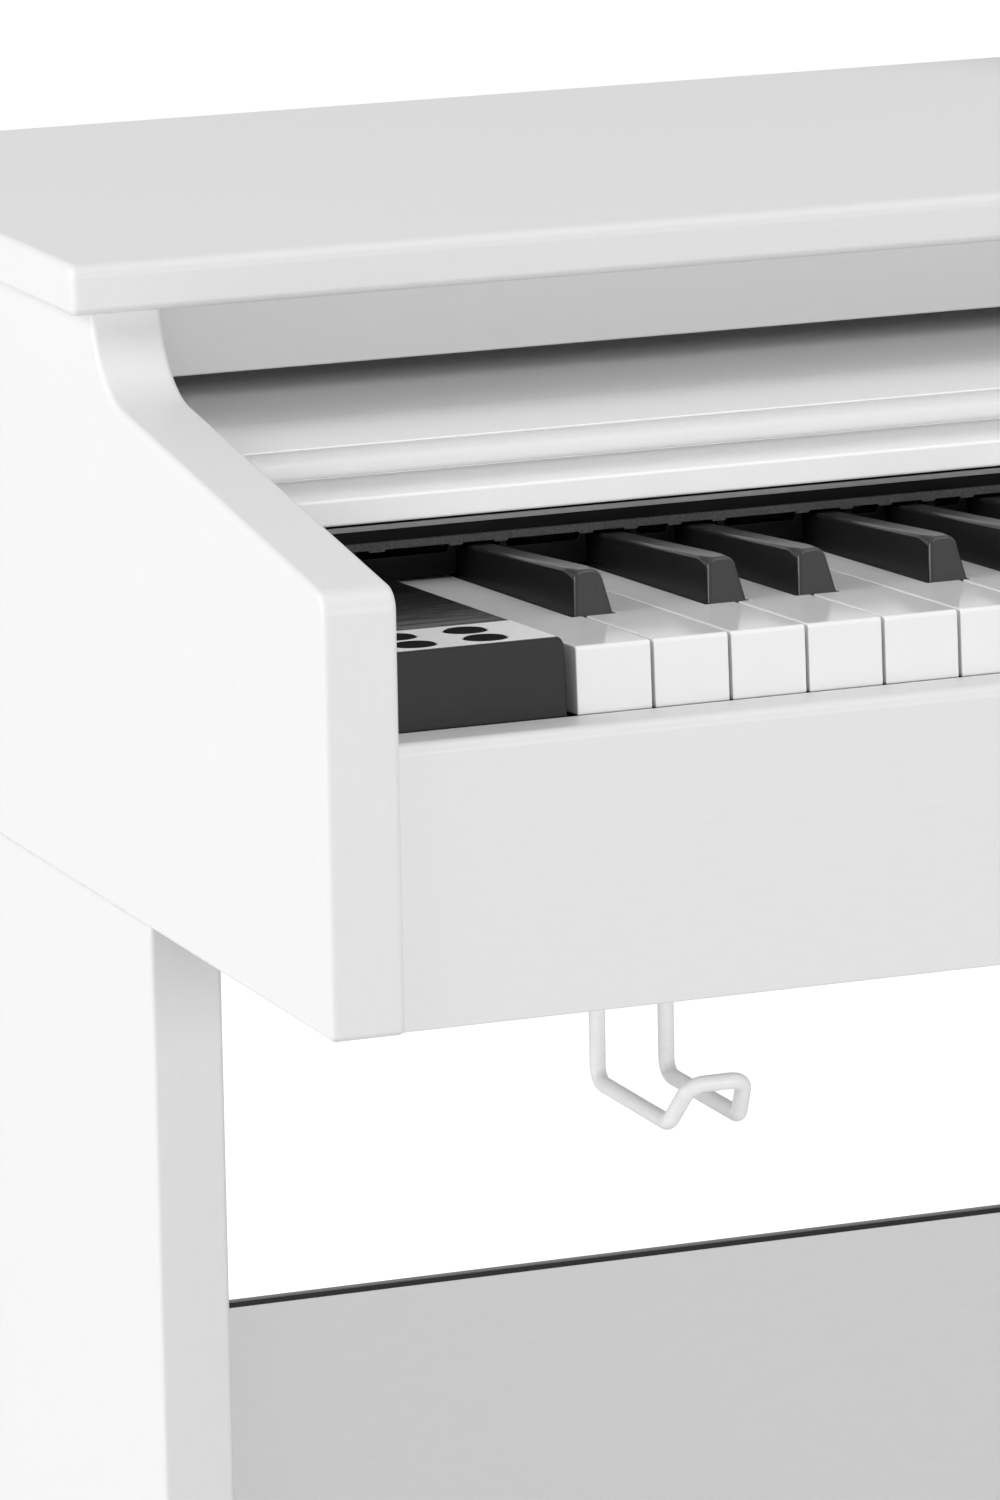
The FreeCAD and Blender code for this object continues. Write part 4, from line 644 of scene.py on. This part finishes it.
for node, _, members in key_sets():
    skins = [skin for index in members for skin in white_key(index)]
    skins += [key_tail(*waist(index)) for index in members]
    dressed(node, skins, "ivory", node)
print("white keys:", WHITE_COUNT)

# %% [markdown]
# ## Black keys
# A black key's cross-section is a narrow trapezium. Its shoulders are crisp along the key and
# rounder towards the front face, so the sections are worked out one by one. The front face
# leans back, and the top falls a little towards the rear.

# %% Black keys
BLACK_RAKE, BLACK_FALL, BLACK_EDGE = 4.0 * MM, 0.037, 1.2 * MM
BLACK_FOOT, BLACK_WAIST, CRISP_FROM = mm(4, 3, 2.5)
SIDE_SHOULDER, FRONT_SHOULDER, BLEND = mm(1.3, 3.4, 9)


def black_section(x, shoulder):
    """(x, z) corners of a black key's section: a trapezium with a radius at its shoulders."""
    base, top = BLACK_BASE / 2, BLACK_TOP / 2
    low, high = KEY_TOP - BLACK_FOOT, KEY_TOP + BLACK_HEIGHT
    return [(x - base, low, 0), (x + base, low, 0), (x + base, KEY_TOP, BLACK_WAIST),
            (x + top, high, shoulder), (x - top, high, shoulder), (x - base, KEY_TOP, BLACK_WAIST)]


def black_key(x):
    """One black key: sections from front to back. With an angle f from 90 to 0 degrees, the
    first ones lie at edge (1 - sin f) and are drawn in by edge (1 - cos f). The shoulders go
    from round to crisp over the blend length with (1 + cos(pi y / blend)) / 2. Then y is pushed
    back by rake times the share of the height above the white keys, and z lowered by the fall
    times the distance from the front."""
    angle = np.linspace(np.pi / 2, 0, 6)
    front = KEY_FRONT + WHITE_HEAD + MM
    length = KEY_REAR - BLACK_RAKE - WHITE_HEAD - MM
    depth = np.concatenate([BLACK_EDGE * (1 - np.sin(angle)), np.linspace(CRISP_FROM, BLEND, 5),
                            [length]])
    inset = np.append(BLACK_EDGE * (1 - np.cos(angle)), np.zeros(6))
    blend = (1 + np.cos(np.pi * np.minimum(depth / BLEND, 1))) / 2
    shoulder = SIDE_SHOULDER + (FRONT_SHOULDER - SIDE_SHOULDER) * blend
    flat = np.array([rounded(drawn_in(black_section(x, r), d)) for r, d in zip(shoulder, inset)])
    x, z = flat[..., 0], flat[..., 1]
    along = np.broadcast_to(depth[:, None], z.shape)
    pushed = BLACK_RAKE * np.maximum((z - KEY_TOP) / BLACK_HEIGHT, 0)
    return tilted(np.stack([x, front + along + pushed, z - BLACK_FALL * along], -1))


for _, node, members in key_sets():
    places = sharps(members)
    if places:
        tails = [key_tail(x - BLACK_BASE / 2, x + BLACK_BASE / 2) for x in places]
        dressed(node, [black_key(x) for x in places] + tails, "ebony", node)
print("black keys done")

# %% [markdown]
# ## Fallboard
# The fallboard is a moulded rail with a sliding panel behind it. The rail has an upright
# face, and above it a finger groove: a shelf that rises a little towards the back, a round
# bead above its rear edge, and a thin lip over both. The bead turns from the light above and
# below, which draws two dark lines along the whole width. One outline is the whole shape. It
# is carried across the piano and then turned up by one degree, because the board slides on a
# slight slope.

# %% Fallboard
RAIL_LOW, RAIL_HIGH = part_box("fallboard_front_rail")
FALL_SLOPE = math.radians(1.0)
FALL_OPEN, FALL_LOW = KEY_FRONT + 132 * MM, KEY_TOP + 13 * MM
RAIL_HEIGHT, RAIL_DEPTH, RAIL_FOOT = mm(23.1, 45, 26)
SHELF, SHELF_RISE, GROOVE, BEAD, BEAD_GAP = mm(8, 1.6, 23, 9.4, 0.5)
LIP, LIP_BACK, LIP_EDGE = mm(0.6, 4, 0.25)
PANEL_THICK, PANEL_GAP, PANEL_DROP = mm(8, 0.8, 0.6)


def sloped(points):
    """Points turned by the fallboard's slope about its front bottom edge."""
    return turned_about(points, FALL_OPEN, FALL_LOW, -FALL_SLOPE)


def rail_outline():
    """Side view of the rail as (y, z) corners, from the front bottom edge round to the shelf.
    The bead is a box with round front corners, a hair's breadth above the shelf's rear edge."""
    y, z, top = FALL_OPEN, FALL_LOW, FALL_LOW + RAIL_HEIGHT
    roof, step, foot, end = top - LIP, top - PANEL_THICK, y + RAIL_FOOT, y + RAIL_DEPTH
    wall, nose, rear = y + GROOVE, y + GROOVE - BEAD / 2 - BEAD_GAP, z + SHELF + SHELF_RISE
    low, high, bead_round = rear + BEAD_GAP, rear + BEAD_GAP + BEAD, 0.49 * BEAD
    return [(y, z, 1.0 * MM), (foot, z, 0.5 * MM), (foot, step, 0.3 * MM),
            (end, step, 0.2 * MM), (end, top, LIP_EDGE), (y + LIP_BACK, top, LIP_EDGE),
            (y + LIP_BACK, roof, LIP_EDGE), (wall, roof, 0.8 * MM), (wall, high, 0.2 * MM),
            (nose, high, bead_round), (nose, low, bead_round), (wall, low, 0.1 * MM),
            (wall, rear, 0.1 * MM), (y, z + SHELF, 0.9 * MM)]


rail = sloped(across(rail_outline(), RAIL_LOW, RAIL_HIGH, 0.15 * MM, 3, 12))
piece("fallboard_rail_dressed", [rail], "lacquer", "fallboard", replaces=["fallboard_front_rail"])
panel_low, panel_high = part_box("fallboard_panel")
panel_rear = FALL_OPEN + (panel_high.y - FALL_OPEN) / math.cos(FALL_SLOPE) - 0.2 * MM
rail_top = FALL_LOW + RAIL_HEIGHT
panel = box_outline(FALL_OPEN + RAIL_DEPTH + PANEL_GAP, panel_rear, rail_top - PANEL_THICK,
                    rail_top - PANEL_DROP, mm(0.2, 0.5, 0.5, 0.35))
panel_skin = sloped(across(panel, panel_low, panel_high, 0.3 * MM, 3, 4))
dressed("fallboard_panel", [panel_skin], "lacquer", "fallboard")
print("fallboard", round(RAIL_HIGH.x - RAIL_LOW.x, 4), "wide")

# %% [markdown]
# ## Cover behind the keys
# A black moulding closes the gap between the keys and the fallboard. Its upper part is a bent
# strip. Below that, a tooth comes down between every two black keys, and each tooth is open
# at the top, which leaves a row of oblong slots over the white keys. A thin grey strip along
# its upper edge is a painted highlight, standing in for the light that the glossy edge catches.
# A felt strip lies on its face and is cut back a little over each slot and each black key.
# Tables of corners, made for all the keys at once, describe each.

# %% Cover
BLACK_XS = np.array(sharps(range(WHITE_COUNT)))
NOTCH, SLOT_INSET = mm(6.9, 2.3)
COVER_SHEET, FELT_THICK = mm(3, 1.2)
KEYS_END = 613.5 * MM
COVER_FACE = COVER_LOW.y
TOOTH_LOW, TOOTH_HIGH, SLOT_FLOOR, STRIP_HEM = mm(6, 3.4, 0.7, 3.3)
COVER_FLAP = 32.9 * MM


def tooth_spans():
    """Left and right end of every tooth, from the left arm over the black keys to the right."""
    starts = np.concatenate([[-INNER_HALF], BLACK_XS + NOTCH])
    ends = np.concatenate([BLACK_XS - NOTCH, [INNER_HALF]])
    return np.column_stack([starts, ends])


def slot_spans():
    """Left and right end of every oblong slot: a tooth drawn in at both ends. The first and
    the last tooth hold two, one over the key and one over the cheek block."""
    spans = tooth_spans() + [SLOT_INSET, -SLOT_INSET]
    first, last = spans[0], spans[-1]
    outer = [[first[0] + 4 * MM, -KEYS_END - 5 * MM], [-KEYS_END, first[1]]]
    far = [[last[0], KEYS_END], [KEYS_END + 5 * MM, last[1] - 4 * MM]]
    return np.concatenate([outer, spans[1:-1], far])


def tooth(start, end):
    """(x, z) corners of one tooth: a bar with an upright at each end."""
    low, high, floor = KEY_TOP - TOOTH_LOW, KEY_TOP + TOOTH_HIGH, KEY_TOP + SLOT_FLOOR
    left, right = start + SLOT_INSET, end - SLOT_INSET
    return [(start, low, 0.6 * MM), (end, low, 0.6 * MM), (end, high, 0), (right, high, 0),
            (right, floor, 1.1 * MM), (left, floor, 1.1 * MM), (left, high, 0), (start, high, 0)]


top, rear, front, hem = COVER_HIGH.z, COVER_HIGH.y, COVER_FACE, KEY_TOP + STRIP_HEM
inner_front, inner_rear, inner_top = front + COVER_SHEET, rear - COVER_SHEET, top - COVER_SHEET
strip_outline = [(front, hem, 0.2 * MM), (inner_front, hem, 0.2 * MM),
                 (inner_front, inner_top, 0.4 * MM), (inner_rear, inner_top, 0.4 * MM),
                 (inner_rear, top - COVER_FLAP, 0.3 * MM), (rear, top - COVER_FLAP, 0.3 * MM),
                 (rear, top, 1 * MM), (front, top, 0.5 * MM)]
skins = [carried(strip_outline, "x", -INNER_HALF, INNER_HALF, 0.0, 0.0, 1, 4)]
skins += [carried(tooth(start, end), "y", front, inner_front, 0.3 * MM, 0.0, 3, 4)
          for start, end in tooth_spans()]
piece("key_cover_dressed", skins, "gloss_cover",
      replaces=["rear_key_cover"])
# Painted highlight: a thin grey strip on the cover's top front edge stands in for the light that
# the glossy edge catches.
strip = box_outline(front - 0.25 * MM, front + 0.5 * MM, top - 1.75 * MM, top - 0.15 * MM,
                    [0.15 * MM] * 4)
strip_half = INNER_HALF - MM
piece("cover_painted_highlight", [carried(strip, "x", -strip_half, strip_half, 0.0, 0.0, 1, 4)],
      "painted_highlight_grey")
print("teeth:", len(tooth_spans()), "slots:", len(slot_spans()))


# %% Felt strip
FELT_HEIGHTS, FELT_HALF = mm(2.7, 3.3, 5.7), 5 * MM


def felt_outline():
    """(x, z) corners of the felt: a straight top edge and a lower edge that rises a little over
    each slot and over each black key."""
    low, high, top = KEY_TOP + np.array(FELT_HEIGHTS)
    spans = np.concatenate([slot_spans(), BLACK_XS[:, None] + [-FELT_HALF, FELT_HALF]])
    spans = spans[np.argsort(spans[:, 0])]
    xs = np.repeat(spans.reshape(-1), 2)
    zs = np.tile([low, high, high, low], len(spans))
    lower = np.column_stack([xs, zs, np.full(len(xs), 0.25 * MM)])
    left = [(-strip_half, top, 0), (-strip_half, low, 0.3 * MM)]
    right = [(strip_half, low, 0.3 * MM), (strip_half, top, 0)]
    return np.concatenate([left, lower, right])


felt = carried(felt_outline(), "y", COVER_FACE - FELT_THICK, COVER_FACE + 0.1 * MM,
               0.3 * MM, 0.0, 3, 5)
piece("cover_felt_dressed", [felt], "felt", replaces=["key_cover_felt"])
print("felt hangs between", len(BLACK_XS), "black keys")

# %% [markdown]
# ## Cheek blocks and their controls
# The room between an arm and the first key is filled by a moulded block. The left one carries
# a pale plate with four round holes, and a button stands in each. A plate with holes is a
# grid of cells: in each cell the outline of the rectangle is joined to the circle, point by
# point, and the points of the rectangle are evenly spaced, so neighbouring cells share theirs.

# %% Cheek blocks
CHEEK_TOP = KEY_TOP + 3.2 * MM
BED_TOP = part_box("keybed")[1].z
CHEEK_REAR = KEY_FRONT + KEY_SHOWN - MM
CHEEK_LEFT, CHEEK_RIGHT, CHEEK_DEPTH = -INNER_HALF + 0.3 * MM, KEY_LEFT - 3 * MM, 36 * MM
CHEEK_DRAFT = 1.6 / 85


def cheek_section(x0, x1, low, high, shoulder=2.6 * MM):
    """(x, z) corners of a block's upright section, with a drafted side by the keys."""
    foot = x1 + CHEEK_DRAFT * (CHEEK_TOP - low)
    return [(x0, low, 0.3 * MM), (foot, low, 0.3 * MM), (x1, high, shoulder),
            (x0, high, 0.3 * MM)]


def cheek_skins():
    """The left block's skins: front rim, floor, a wall by the keys, one by the arm, and a foot
    on the keybed."""
    x0, x1, y0, rear = CHEEK_LEFT, CHEEK_RIGHT, KEY_FRONT, KEY_FRONT + CHEEK_DEPTH
    low, sill, foot_top = KEY_TOP - CHEEK_DEPTH, KEY_TOP - 8 * MM, BED_TOP + 10 * MM
    section = cheek_section(x0, x1, low, CHEEK_TOP)
    skins = [carried(section, "y", y0, y0 + 1.1 * MM, 0.5 * MM, 0.0, 5, 8)]
    walls = [cheek_section(x0, x1, low, CHEEK_TOP - 8 * MM, 0.3 * MM),
             cheek_section(x1 - 2.2 * MM, x1, sill, CHEEK_TOP, 2.1 * MM),
             cheek_section(x0, x0 + 1.6 * MM, sill, CHEEK_TOP - 0.02 * MM, 0.2 * MM)]
    skins += [carried(wall, "y", y0 + MM, rear + MM, 0.0, 0.0, 1, 8) for wall in walls]
    foot = [(x0 + 3 * MM, foot_top, 0), (x1 - 3 * MM, foot_top, 0), (x1 - 3 * MM, low + MM, 0),
            (x0 + 3 * MM, low + MM, 0)]
    skins.append(carried(foot, "y", y0 + 9 * MM, CHEEK_REAR - 3 * MM, 0.0, 0.0, 1, 2))
    return [tilted(skin) for skin in skins]


piece("left_cheek_dressed", cheek_skins(), "cheek_gloss",
      replaces=["left_cheek_block"])
deck = cheek_section(CHEEK_LEFT, CHEEK_RIGHT, KEY_TOP - CHEEK_DEPTH, CHEEK_TOP)
deck_skin = carried(deck, "y", KEY_FRONT + CHEEK_DEPTH, CHEEK_REAR, 0.4 * MM, 0.3 * MM, 4, 8)
piece("left_cheek_deck", [tilted(deck_skin)], "gloss_black")
print("cheek block", round(CHEEK_REAR - KEY_FRONT, 4), "deep")


# %% Button plate
def holed_plate(xs, ys, centres, radius, low, high, ease, rim, count=16):
    """Points and faces of a flat plate with one round hole in each cell between the lines xs
    and ys. A cell's side is divided evenly; each of its points looks at the hole's centre, and
    the circle's point lies on that line. From the outside in, the rings are: rectangle, rim
    circle, edge circle lowered by the ease, and the same two rings at the bottom."""
    t, zero, one = np.arange(count) / count, np.zeros(count), np.ones(count)
    square = np.column_stack([np.concatenate([t, one, 1 - t, zero]),
                              np.concatenate([zero, t, one, 1 - t])])
    points, faces, size = [], [], len(square)
    first, last = np.array([xs[0], ys[0]]), np.array([xs[-1], ys[-1]])
    for row, (cx, cy) in enumerate(centres):
        i, j = np.searchsorted(xs, cx) - 1, np.searchsorted(ys, cy) - 1
        low_corner, high_corner = np.array([xs[i], ys[j]]), np.array([xs[i + 1], ys[j + 1]])
        outer = low_corner + square * (high_corner - low_corner)
        way = unit(outer - [cx, cy])
        circles = [np.array([cx, cy]) + way * r for r in (radius + rim, radius + 0.4 * rim, radius)]
        flat = [outer, *circles, circles[2], outer]
        heights = [high, high, high + ease, high - ease, low, low]
        points += [np.column_stack([ring, np.full(size, z)]) for ring, z in zip(flat, heights)]
        index = np.arange(6 * size).reshape(6, size) + row * 6 * size
        faces += quads(index).tolist()
        ahead = np.roll(outer, -1, 0)
        edge = ((outer == first) & (ahead == first)) | ((outer == last) & (ahead == last))
        faces += quads(index[[5, 0]])[edge.any(1)].tolist()
    return np.concatenate(points), faces


BUTTON_XS = -INNER_HALF + np.array([16.2, 37.4]) * MM
BUTTON_YS = KEY_FRONT + np.array([9.8, 25.2]) * MM
BUTTON_PLACES = [(x, y) for x in BUTTON_XS for y in BUTTON_YS]
plate_xs = np.array([-INNER_HALF + 1.6 * MM, BUTTON_XS.mean(), KEY_LEFT - 4.8 * MM])
plate_ys = np.array([KEY_FRONT + 1.3 * MM, BUTTON_YS.mean(), KEY_FRONT + 35.7 * MM])
points, faces = holed_plate(plate_xs, plate_ys, BUTTON_PLACES, 6.45 * MM, CHEEK_TOP - MM,
                            CHEEK_TOP + 0.1 * MM, 0.1 * MM, 0.7 * MM)
finished("button_plate_dressed", tilted(points), faces, "pale_plate", "root",
         ["button_plate"])
print("plate", round(np.ptp(plate_xs), 4), "by", round(np.ptp(plate_ys), 4))


# %% Buttons
def turned(profile, centre, count=64):
    """Rings (n, count, 3) of a profile of (radius, height) rows turned about an upright axis:
    x = radius cos t and y = radius sin t, for t once round."""
    radius, height = np.array(profile, float).T
    t = np.linspace(0, 2 * np.pi, count, endpoint=False)
    ring = np.stack([np.cos(t), np.sin(t)], -1)[None] * radius[:, None, None]
    level = np.broadcast_to(height[:, None, None], (len(radius), count, 1))
    return np.concatenate([ring, level], -1) + np.array(centre)


def button_profile(radius, foot, top):
    """(radius, height) rows of a button: a straight stem, a round edge and a slightly hollow
    top, z = top - dish (1 - (r / radius) squared)."""
    edge, dish = 0.5 * MM, 0.25 * MM
    turn = np.linspace(0, np.pi / 2, 6)
    rim = np.column_stack([radius - edge + edge * np.cos(turn), top - edge + edge * np.sin(turn)])
    inner = np.linspace(radius - edge - 0.1 * MM, 0.02 * MM, 7)
    hollow = np.column_stack([inner, top - dish * (1 - (inner / (radius - edge)) ** 2)])
    return np.concatenate([[(radius, foot)], rim, hollow])


BUTTON_RADIUS, BUTTON_FOOT = 6.1 * MM, -5 * MM
BUTTON_NAMES = ("outer_front", "outer_rear", "inner_front", "inner_rear")
for (x, y), name in zip(BUTTON_PLACES, BUTTON_NAMES):
    profile = button_profile(BUTTON_RADIUS, BUTTON_FOOT, 0.4 * MM)
    dressed(f"button_{name}", [tilted(turned(profile, (x, y, CHEEK_TOP)))], "button_black",
            f"button_{name}")
print("buttons:", len(BUTTON_PLACES))

# %% [markdown]
# ## Headphone hook
# The hook is one painted steel wire, bent six times, so it is a circle carried along a path.
# Each bend is an arc between two straight runs. The circle needs two directions square to the
# path; they come from one fixed slanting direction that the wire never points along.

# %% Hook
HOOK_LOW, HOOK_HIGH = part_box("headphone_hook")


def bent_path(corners, radius, steps=10):
    """Points of a path through corners (n, 3) with an arc of the radius at each inner corner,
    worked out as for a flat outline but in space."""
    points = np.array(corners, float)
    here = points[1:-1]
    back, ahead = unit(points[:-2] - here), unit(points[2:] - here)
    arc = corner_arcs(here, back, ahead, radius, steps)
    return np.concatenate([points[:1], arc.reshape(-1, 3), points[-1:]])


def wire(path, radius, slant, count=24):
    """Rings (n, count, 3) round a path: the tangent is the mean of the runs before and after a
    point, and the ring lies in the plane square to it, radius (u cos t + v sin t)."""
    runs = unit(np.diff(path, axis=0))
    tangent = unit(np.concatenate([runs[:1], runs[:-1] + runs[1:], runs[-1:]]))
    u = unit(np.cross(tangent, slant))
    v = np.cross(tangent, u)
    t = np.linspace(0, 2 * np.pi, count, endpoint=False)[None, :, None]
    return path[:, None] + radius * (u[:, None] * np.cos(t) + v[:, None] * np.sin(t))


WIRE_WIDE, WIRE_NARROW, WIRE_DROP, WIRE_RISE = mm(10.75, 8.3, 42.1, 13.1)
WIRE_REACH, WIRE_TIP, WIRE_RADIUS, WIRE_BEND = mm(53, 63.3, 2.4, 5)
hook_x, hook_y = (HOOK_LOW.x + HOOK_HIGH.x) / 2, HOOK_HIGH.y - 8 * MM
hook_top, hook_low = HOOK_HIGH.z - MM, HOOK_HIGH.z - WIRE_DROP
half_wire = [(-WIRE_WIDE, hook_y, hook_top), (-WIRE_WIDE, hook_y, hook_low),
             (-WIRE_WIDE, hook_y - WIRE_REACH, hook_low),
             (-WIRE_NARROW, hook_y - WIRE_TIP, hook_low + WIRE_RISE)]
corners = half_wire + [(-x, y, z) for x, y, z in reversed(half_wire)]
path = bent_path(np.array(corners) + [hook_x, 0, 0], WIRE_BEND)
plate = box_outline(HOOK_LOW.x, HOOK_HIGH.x, hook_y - 8 * MM, HOOK_HIGH.y, [3 * MM] * 4)
plate_skin = carried(plate, "z", HOOK_HIGH.z - 2 * MM, HOOK_HIGH.z, 0.4 * MM, 0.1 * MM, 4, 8)
dressed("headphone_hook", [wire(path, WIRE_RADIUS, [1, 1, 1]), plate_skin], "wire_white")
print("hook wire", round(float(np.linalg.norm(np.diff(path, axis=0), axis=1).sum()), 3), "m long")

# %% [markdown]
# ## Music rest and controls on the right
# The music rest leans back by sixteen degrees and stands on two tongues in the lid. It is an
# outline with two round corners carried through the board's thickness and then leaned. The
# volume knob is a turned profile whose side is fluted: the radius swings a little with the
# angle, which a finger can feel and the light shows as fine upright lines.

# %% Music rest
REST_LEAN, REST_THICK, REST_FOOT = math.radians(16.0), 9.0 * MM, ARM_LOW.y + 385 * MM
rest_base, rest_half = TOP_HIGH.z + 0.3 * MM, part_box("music_rest")[1].x


def leaned(points):
    """Points turned back by the rest's lean about its foot."""
    return turned_about(points, REST_FOOT, rest_base, REST_LEAN)


rest_board = box_outline(-rest_half, rest_half, rest_base + 1.3 * MM, rest_base + 186 * MM,
                         mm(1, 1, 30, 30))
front, back = REST_FOOT - REST_THICK / 2, REST_FOOT + REST_THICK / 2
rest_skin = carried(rest_board, "y", front, back, 1.5 * MM, 1.5 * MM, arc=16)
lip, ledge_top = front - 22 * MM, rest_base + 7 * MM
ledge = [(lip, rest_base, MM), (back, rest_base, MM), (back, ledge_top, MM),
         (lip + 4 * MM, ledge_top, MM), (lip + 4 * MM, ledge_top + 4 * MM, 1.2 * MM),
         (lip, ledge_top + 4 * MM, 1.5 * MM)]
ledge_skin = carried(ledge, "x", 20 * MM - rest_half, rest_half - 20 * MM, MM, MM)
dressed("music_rest", [leaned(rest_skin), ledge_skin], "laminate")
print("music rest", round(2 * rest_half, 3), "wide")


# %% Power button and volume knob
def fluted(rings, centre, flutes, depth, rows):
    """Rings of a turned skin whose given rows swing by depth (1 - cos(flutes t)) / 2 inwards."""
    offset = rings - np.array(centre)
    t = np.arctan2(offset[..., 1], offset[..., 0])
    swing = depth * (1 - np.cos(flutes * t)) / 2 * rows[:, None]
    length = np.maximum(np.linalg.norm(offset[..., :2], axis=-1), 1e-9)
    offset[..., :2] *= ((length - swing) / length)[..., None]
    return offset + np.array(centre)


control_x = INNER_HALF - (INNER_HALF + KEY_LEFT) / 2 + 1.5 * MM
power_centre = (control_x, KEY_FRONT + 14 * MM, CHEEK_TOP)
power = tilted(turned(button_profile(BUTTON_RADIUS, BUTTON_FOOT, 2.0 * MM), power_centre))
dressed("power_button", [power], "button_black", "power_button")
knob_centre = (control_x, KEY_FRONT + 48 * MM, CHEEK_TOP)
bend = np.linspace(0, np.pi / 2, 5)
knob_rim = np.array([8.2, 8.7]) + 0.8 * np.column_stack([np.cos(bend), np.sin(bend)])
knob_rows = MM * np.concatenate([[(3.0, -7.5), (3.0, 0.5), (8.6, 0.5), (9.0, 0.9)], knob_rim,
                                 [(6.5, 9.5), (6.2, 9.2), (0.05, 9.2)]])
flute_rows = np.zeros(len(knob_rows))
flute_rows[3:5] = 1.0
knob_turned = turned(knob_rows, knob_centre, 192)
knob = tilted(fluted(knob_turned, knob_centre, 32, 0.5 * MM, flute_rows))
dressed("volume_knob", [knob], "button_black", "volume_knob")
pointer = box_outline(control_x - 0.5 * MM, control_x + 0.5 * MM, KEY_FRONT + 40.2 * MM,
                      KEY_FRONT + 44.5 * MM, [0.4 * MM] * 4)
pointer_skin = carried(pointer, "z", CHEEK_TOP + 9 * MM, CHEEK_TOP + 9.45 * MM, 0.0,
                       0.15 * MM, 3, 4)
piece("volume_pointer", [tilted(pointer_skin)], "pale_plate", "volume_knob")
print("controls at x", round(control_x, 4))

# %% [markdown]
# ## Pedals and feet
# A pedal is a brass lever that widens into a round toe. Its plan is carried through its
# thickness with round edges, and then bent over a wide arc, so that the toe falls away to both
# sides and shows a soft streak of light. Inside the box it hooks over its axle. The glides and
# the levelling foot are turned; the foot's wheel has lobes for the fingers.

# %% Pedals
PEDAL_HALF, PEDAL_NECK, PEDAL_CROWN = mm(11, 6.8, 0.8)
PEDAL_AXLE, PEDAL_EYE = mm(3.4, 7)
pedal_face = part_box("pedal_box")[0].y


def pedal_skins(low, high):
    """A pedal's lever and eye from its box: the plan's right side mirrors its left, and
    z falls by crown ((x - middle) / half)^2."""
    x, z, axle = (low.x + high.x) / 2, (low.z + high.z) / 2, high.y - PEDAL_EYE
    right = [(PEDAL_HALF, low.y, PEDAL_HALF - 0.6 * MM),
             (PEDAL_HALF, pedal_face - 34 * MM, 12 * MM),
             (PEDAL_NECK, pedal_face - 12 * MM, 6 * MM), (PEDAL_NECK, axle - 5 * MM, 0)]
    plan = np.array([(-a, b, r) for a, b, r in reversed(right)] + right) + [x, 0, 0]
    lever = carried(plan, "z", z - 3 * MM, z + 3 * MM, 1.2 * MM, 2.0 * MM, arc=16)
    lever[..., 2] -= PEDAL_CROWN * ((lever[..., 0] - x) / PEDAL_HALF) ** 2
    eye = notched(axle - PEDAL_EYE, axle + PEDAL_EYE, z - PEDAL_EYE, z + PEDAL_EYE, axle,
                  PEDAL_AXLE, z + PEDAL_AXLE, MM)
    return [lever, carried(eye, "x", x - PEDAL_HALF, x + PEDAL_HALF, 0.3 * MM, 0.3 * MM, 3, 4)]


for side in ("left", "middle", "right"):
    name = side + "_pedal"
    dressed(name, pedal_skins(*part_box(name)), "brass", name)

# %% Glides and levelling foot
GLIDE_RADIUS = 11 * MM
glide_low, glide_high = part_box("stand_glides")
glide_rows = np.array([(0.05, 0), (9, 0), (10.4, 0.4), (10.9, 1.4), (10.9, 5), (0.05, 5)]) * MM
glide_xs = (glide_low.x + GLIDE_RADIUS, glide_high.x - GLIDE_RADIUS)
glide_ys = (glide_low.y + GLIDE_RADIUS, glide_high.y - GLIDE_RADIUS)
glides = [turned(glide_rows, (x, y, 0.0), 32) for x in glide_xs for y in glide_ys]
dressed("stand_glides", glides, "rubber")
foot_low, foot_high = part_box("pedal_adjuster")
foot_centre = ((foot_low.x + foot_high.x) / 2, (foot_low.y + foot_high.y) / 2, foot_low.z)
stud = (foot_high.z - foot_low.z) / MM
foot_rows = MM * np.array([(0.05, 0), (10, 0), (12.4, 1.2), (12.9, 3), (12.9, 11), (12.2, 13.2),
                           (10.5, 14), (4, 14), (4, stud), (0.05, stud)])
lobes = np.array([0, 0, 1, 1, 1, 1, 0, 0, 0, 0])
foot_skin = fluted(turned(foot_rows, foot_centre, 144), foot_centre, 9, 1.6 * MM, lobes)
dressed("pedal_adjuster", [foot_skin], "rubber", "pedal_adjuster")
print("feet done")
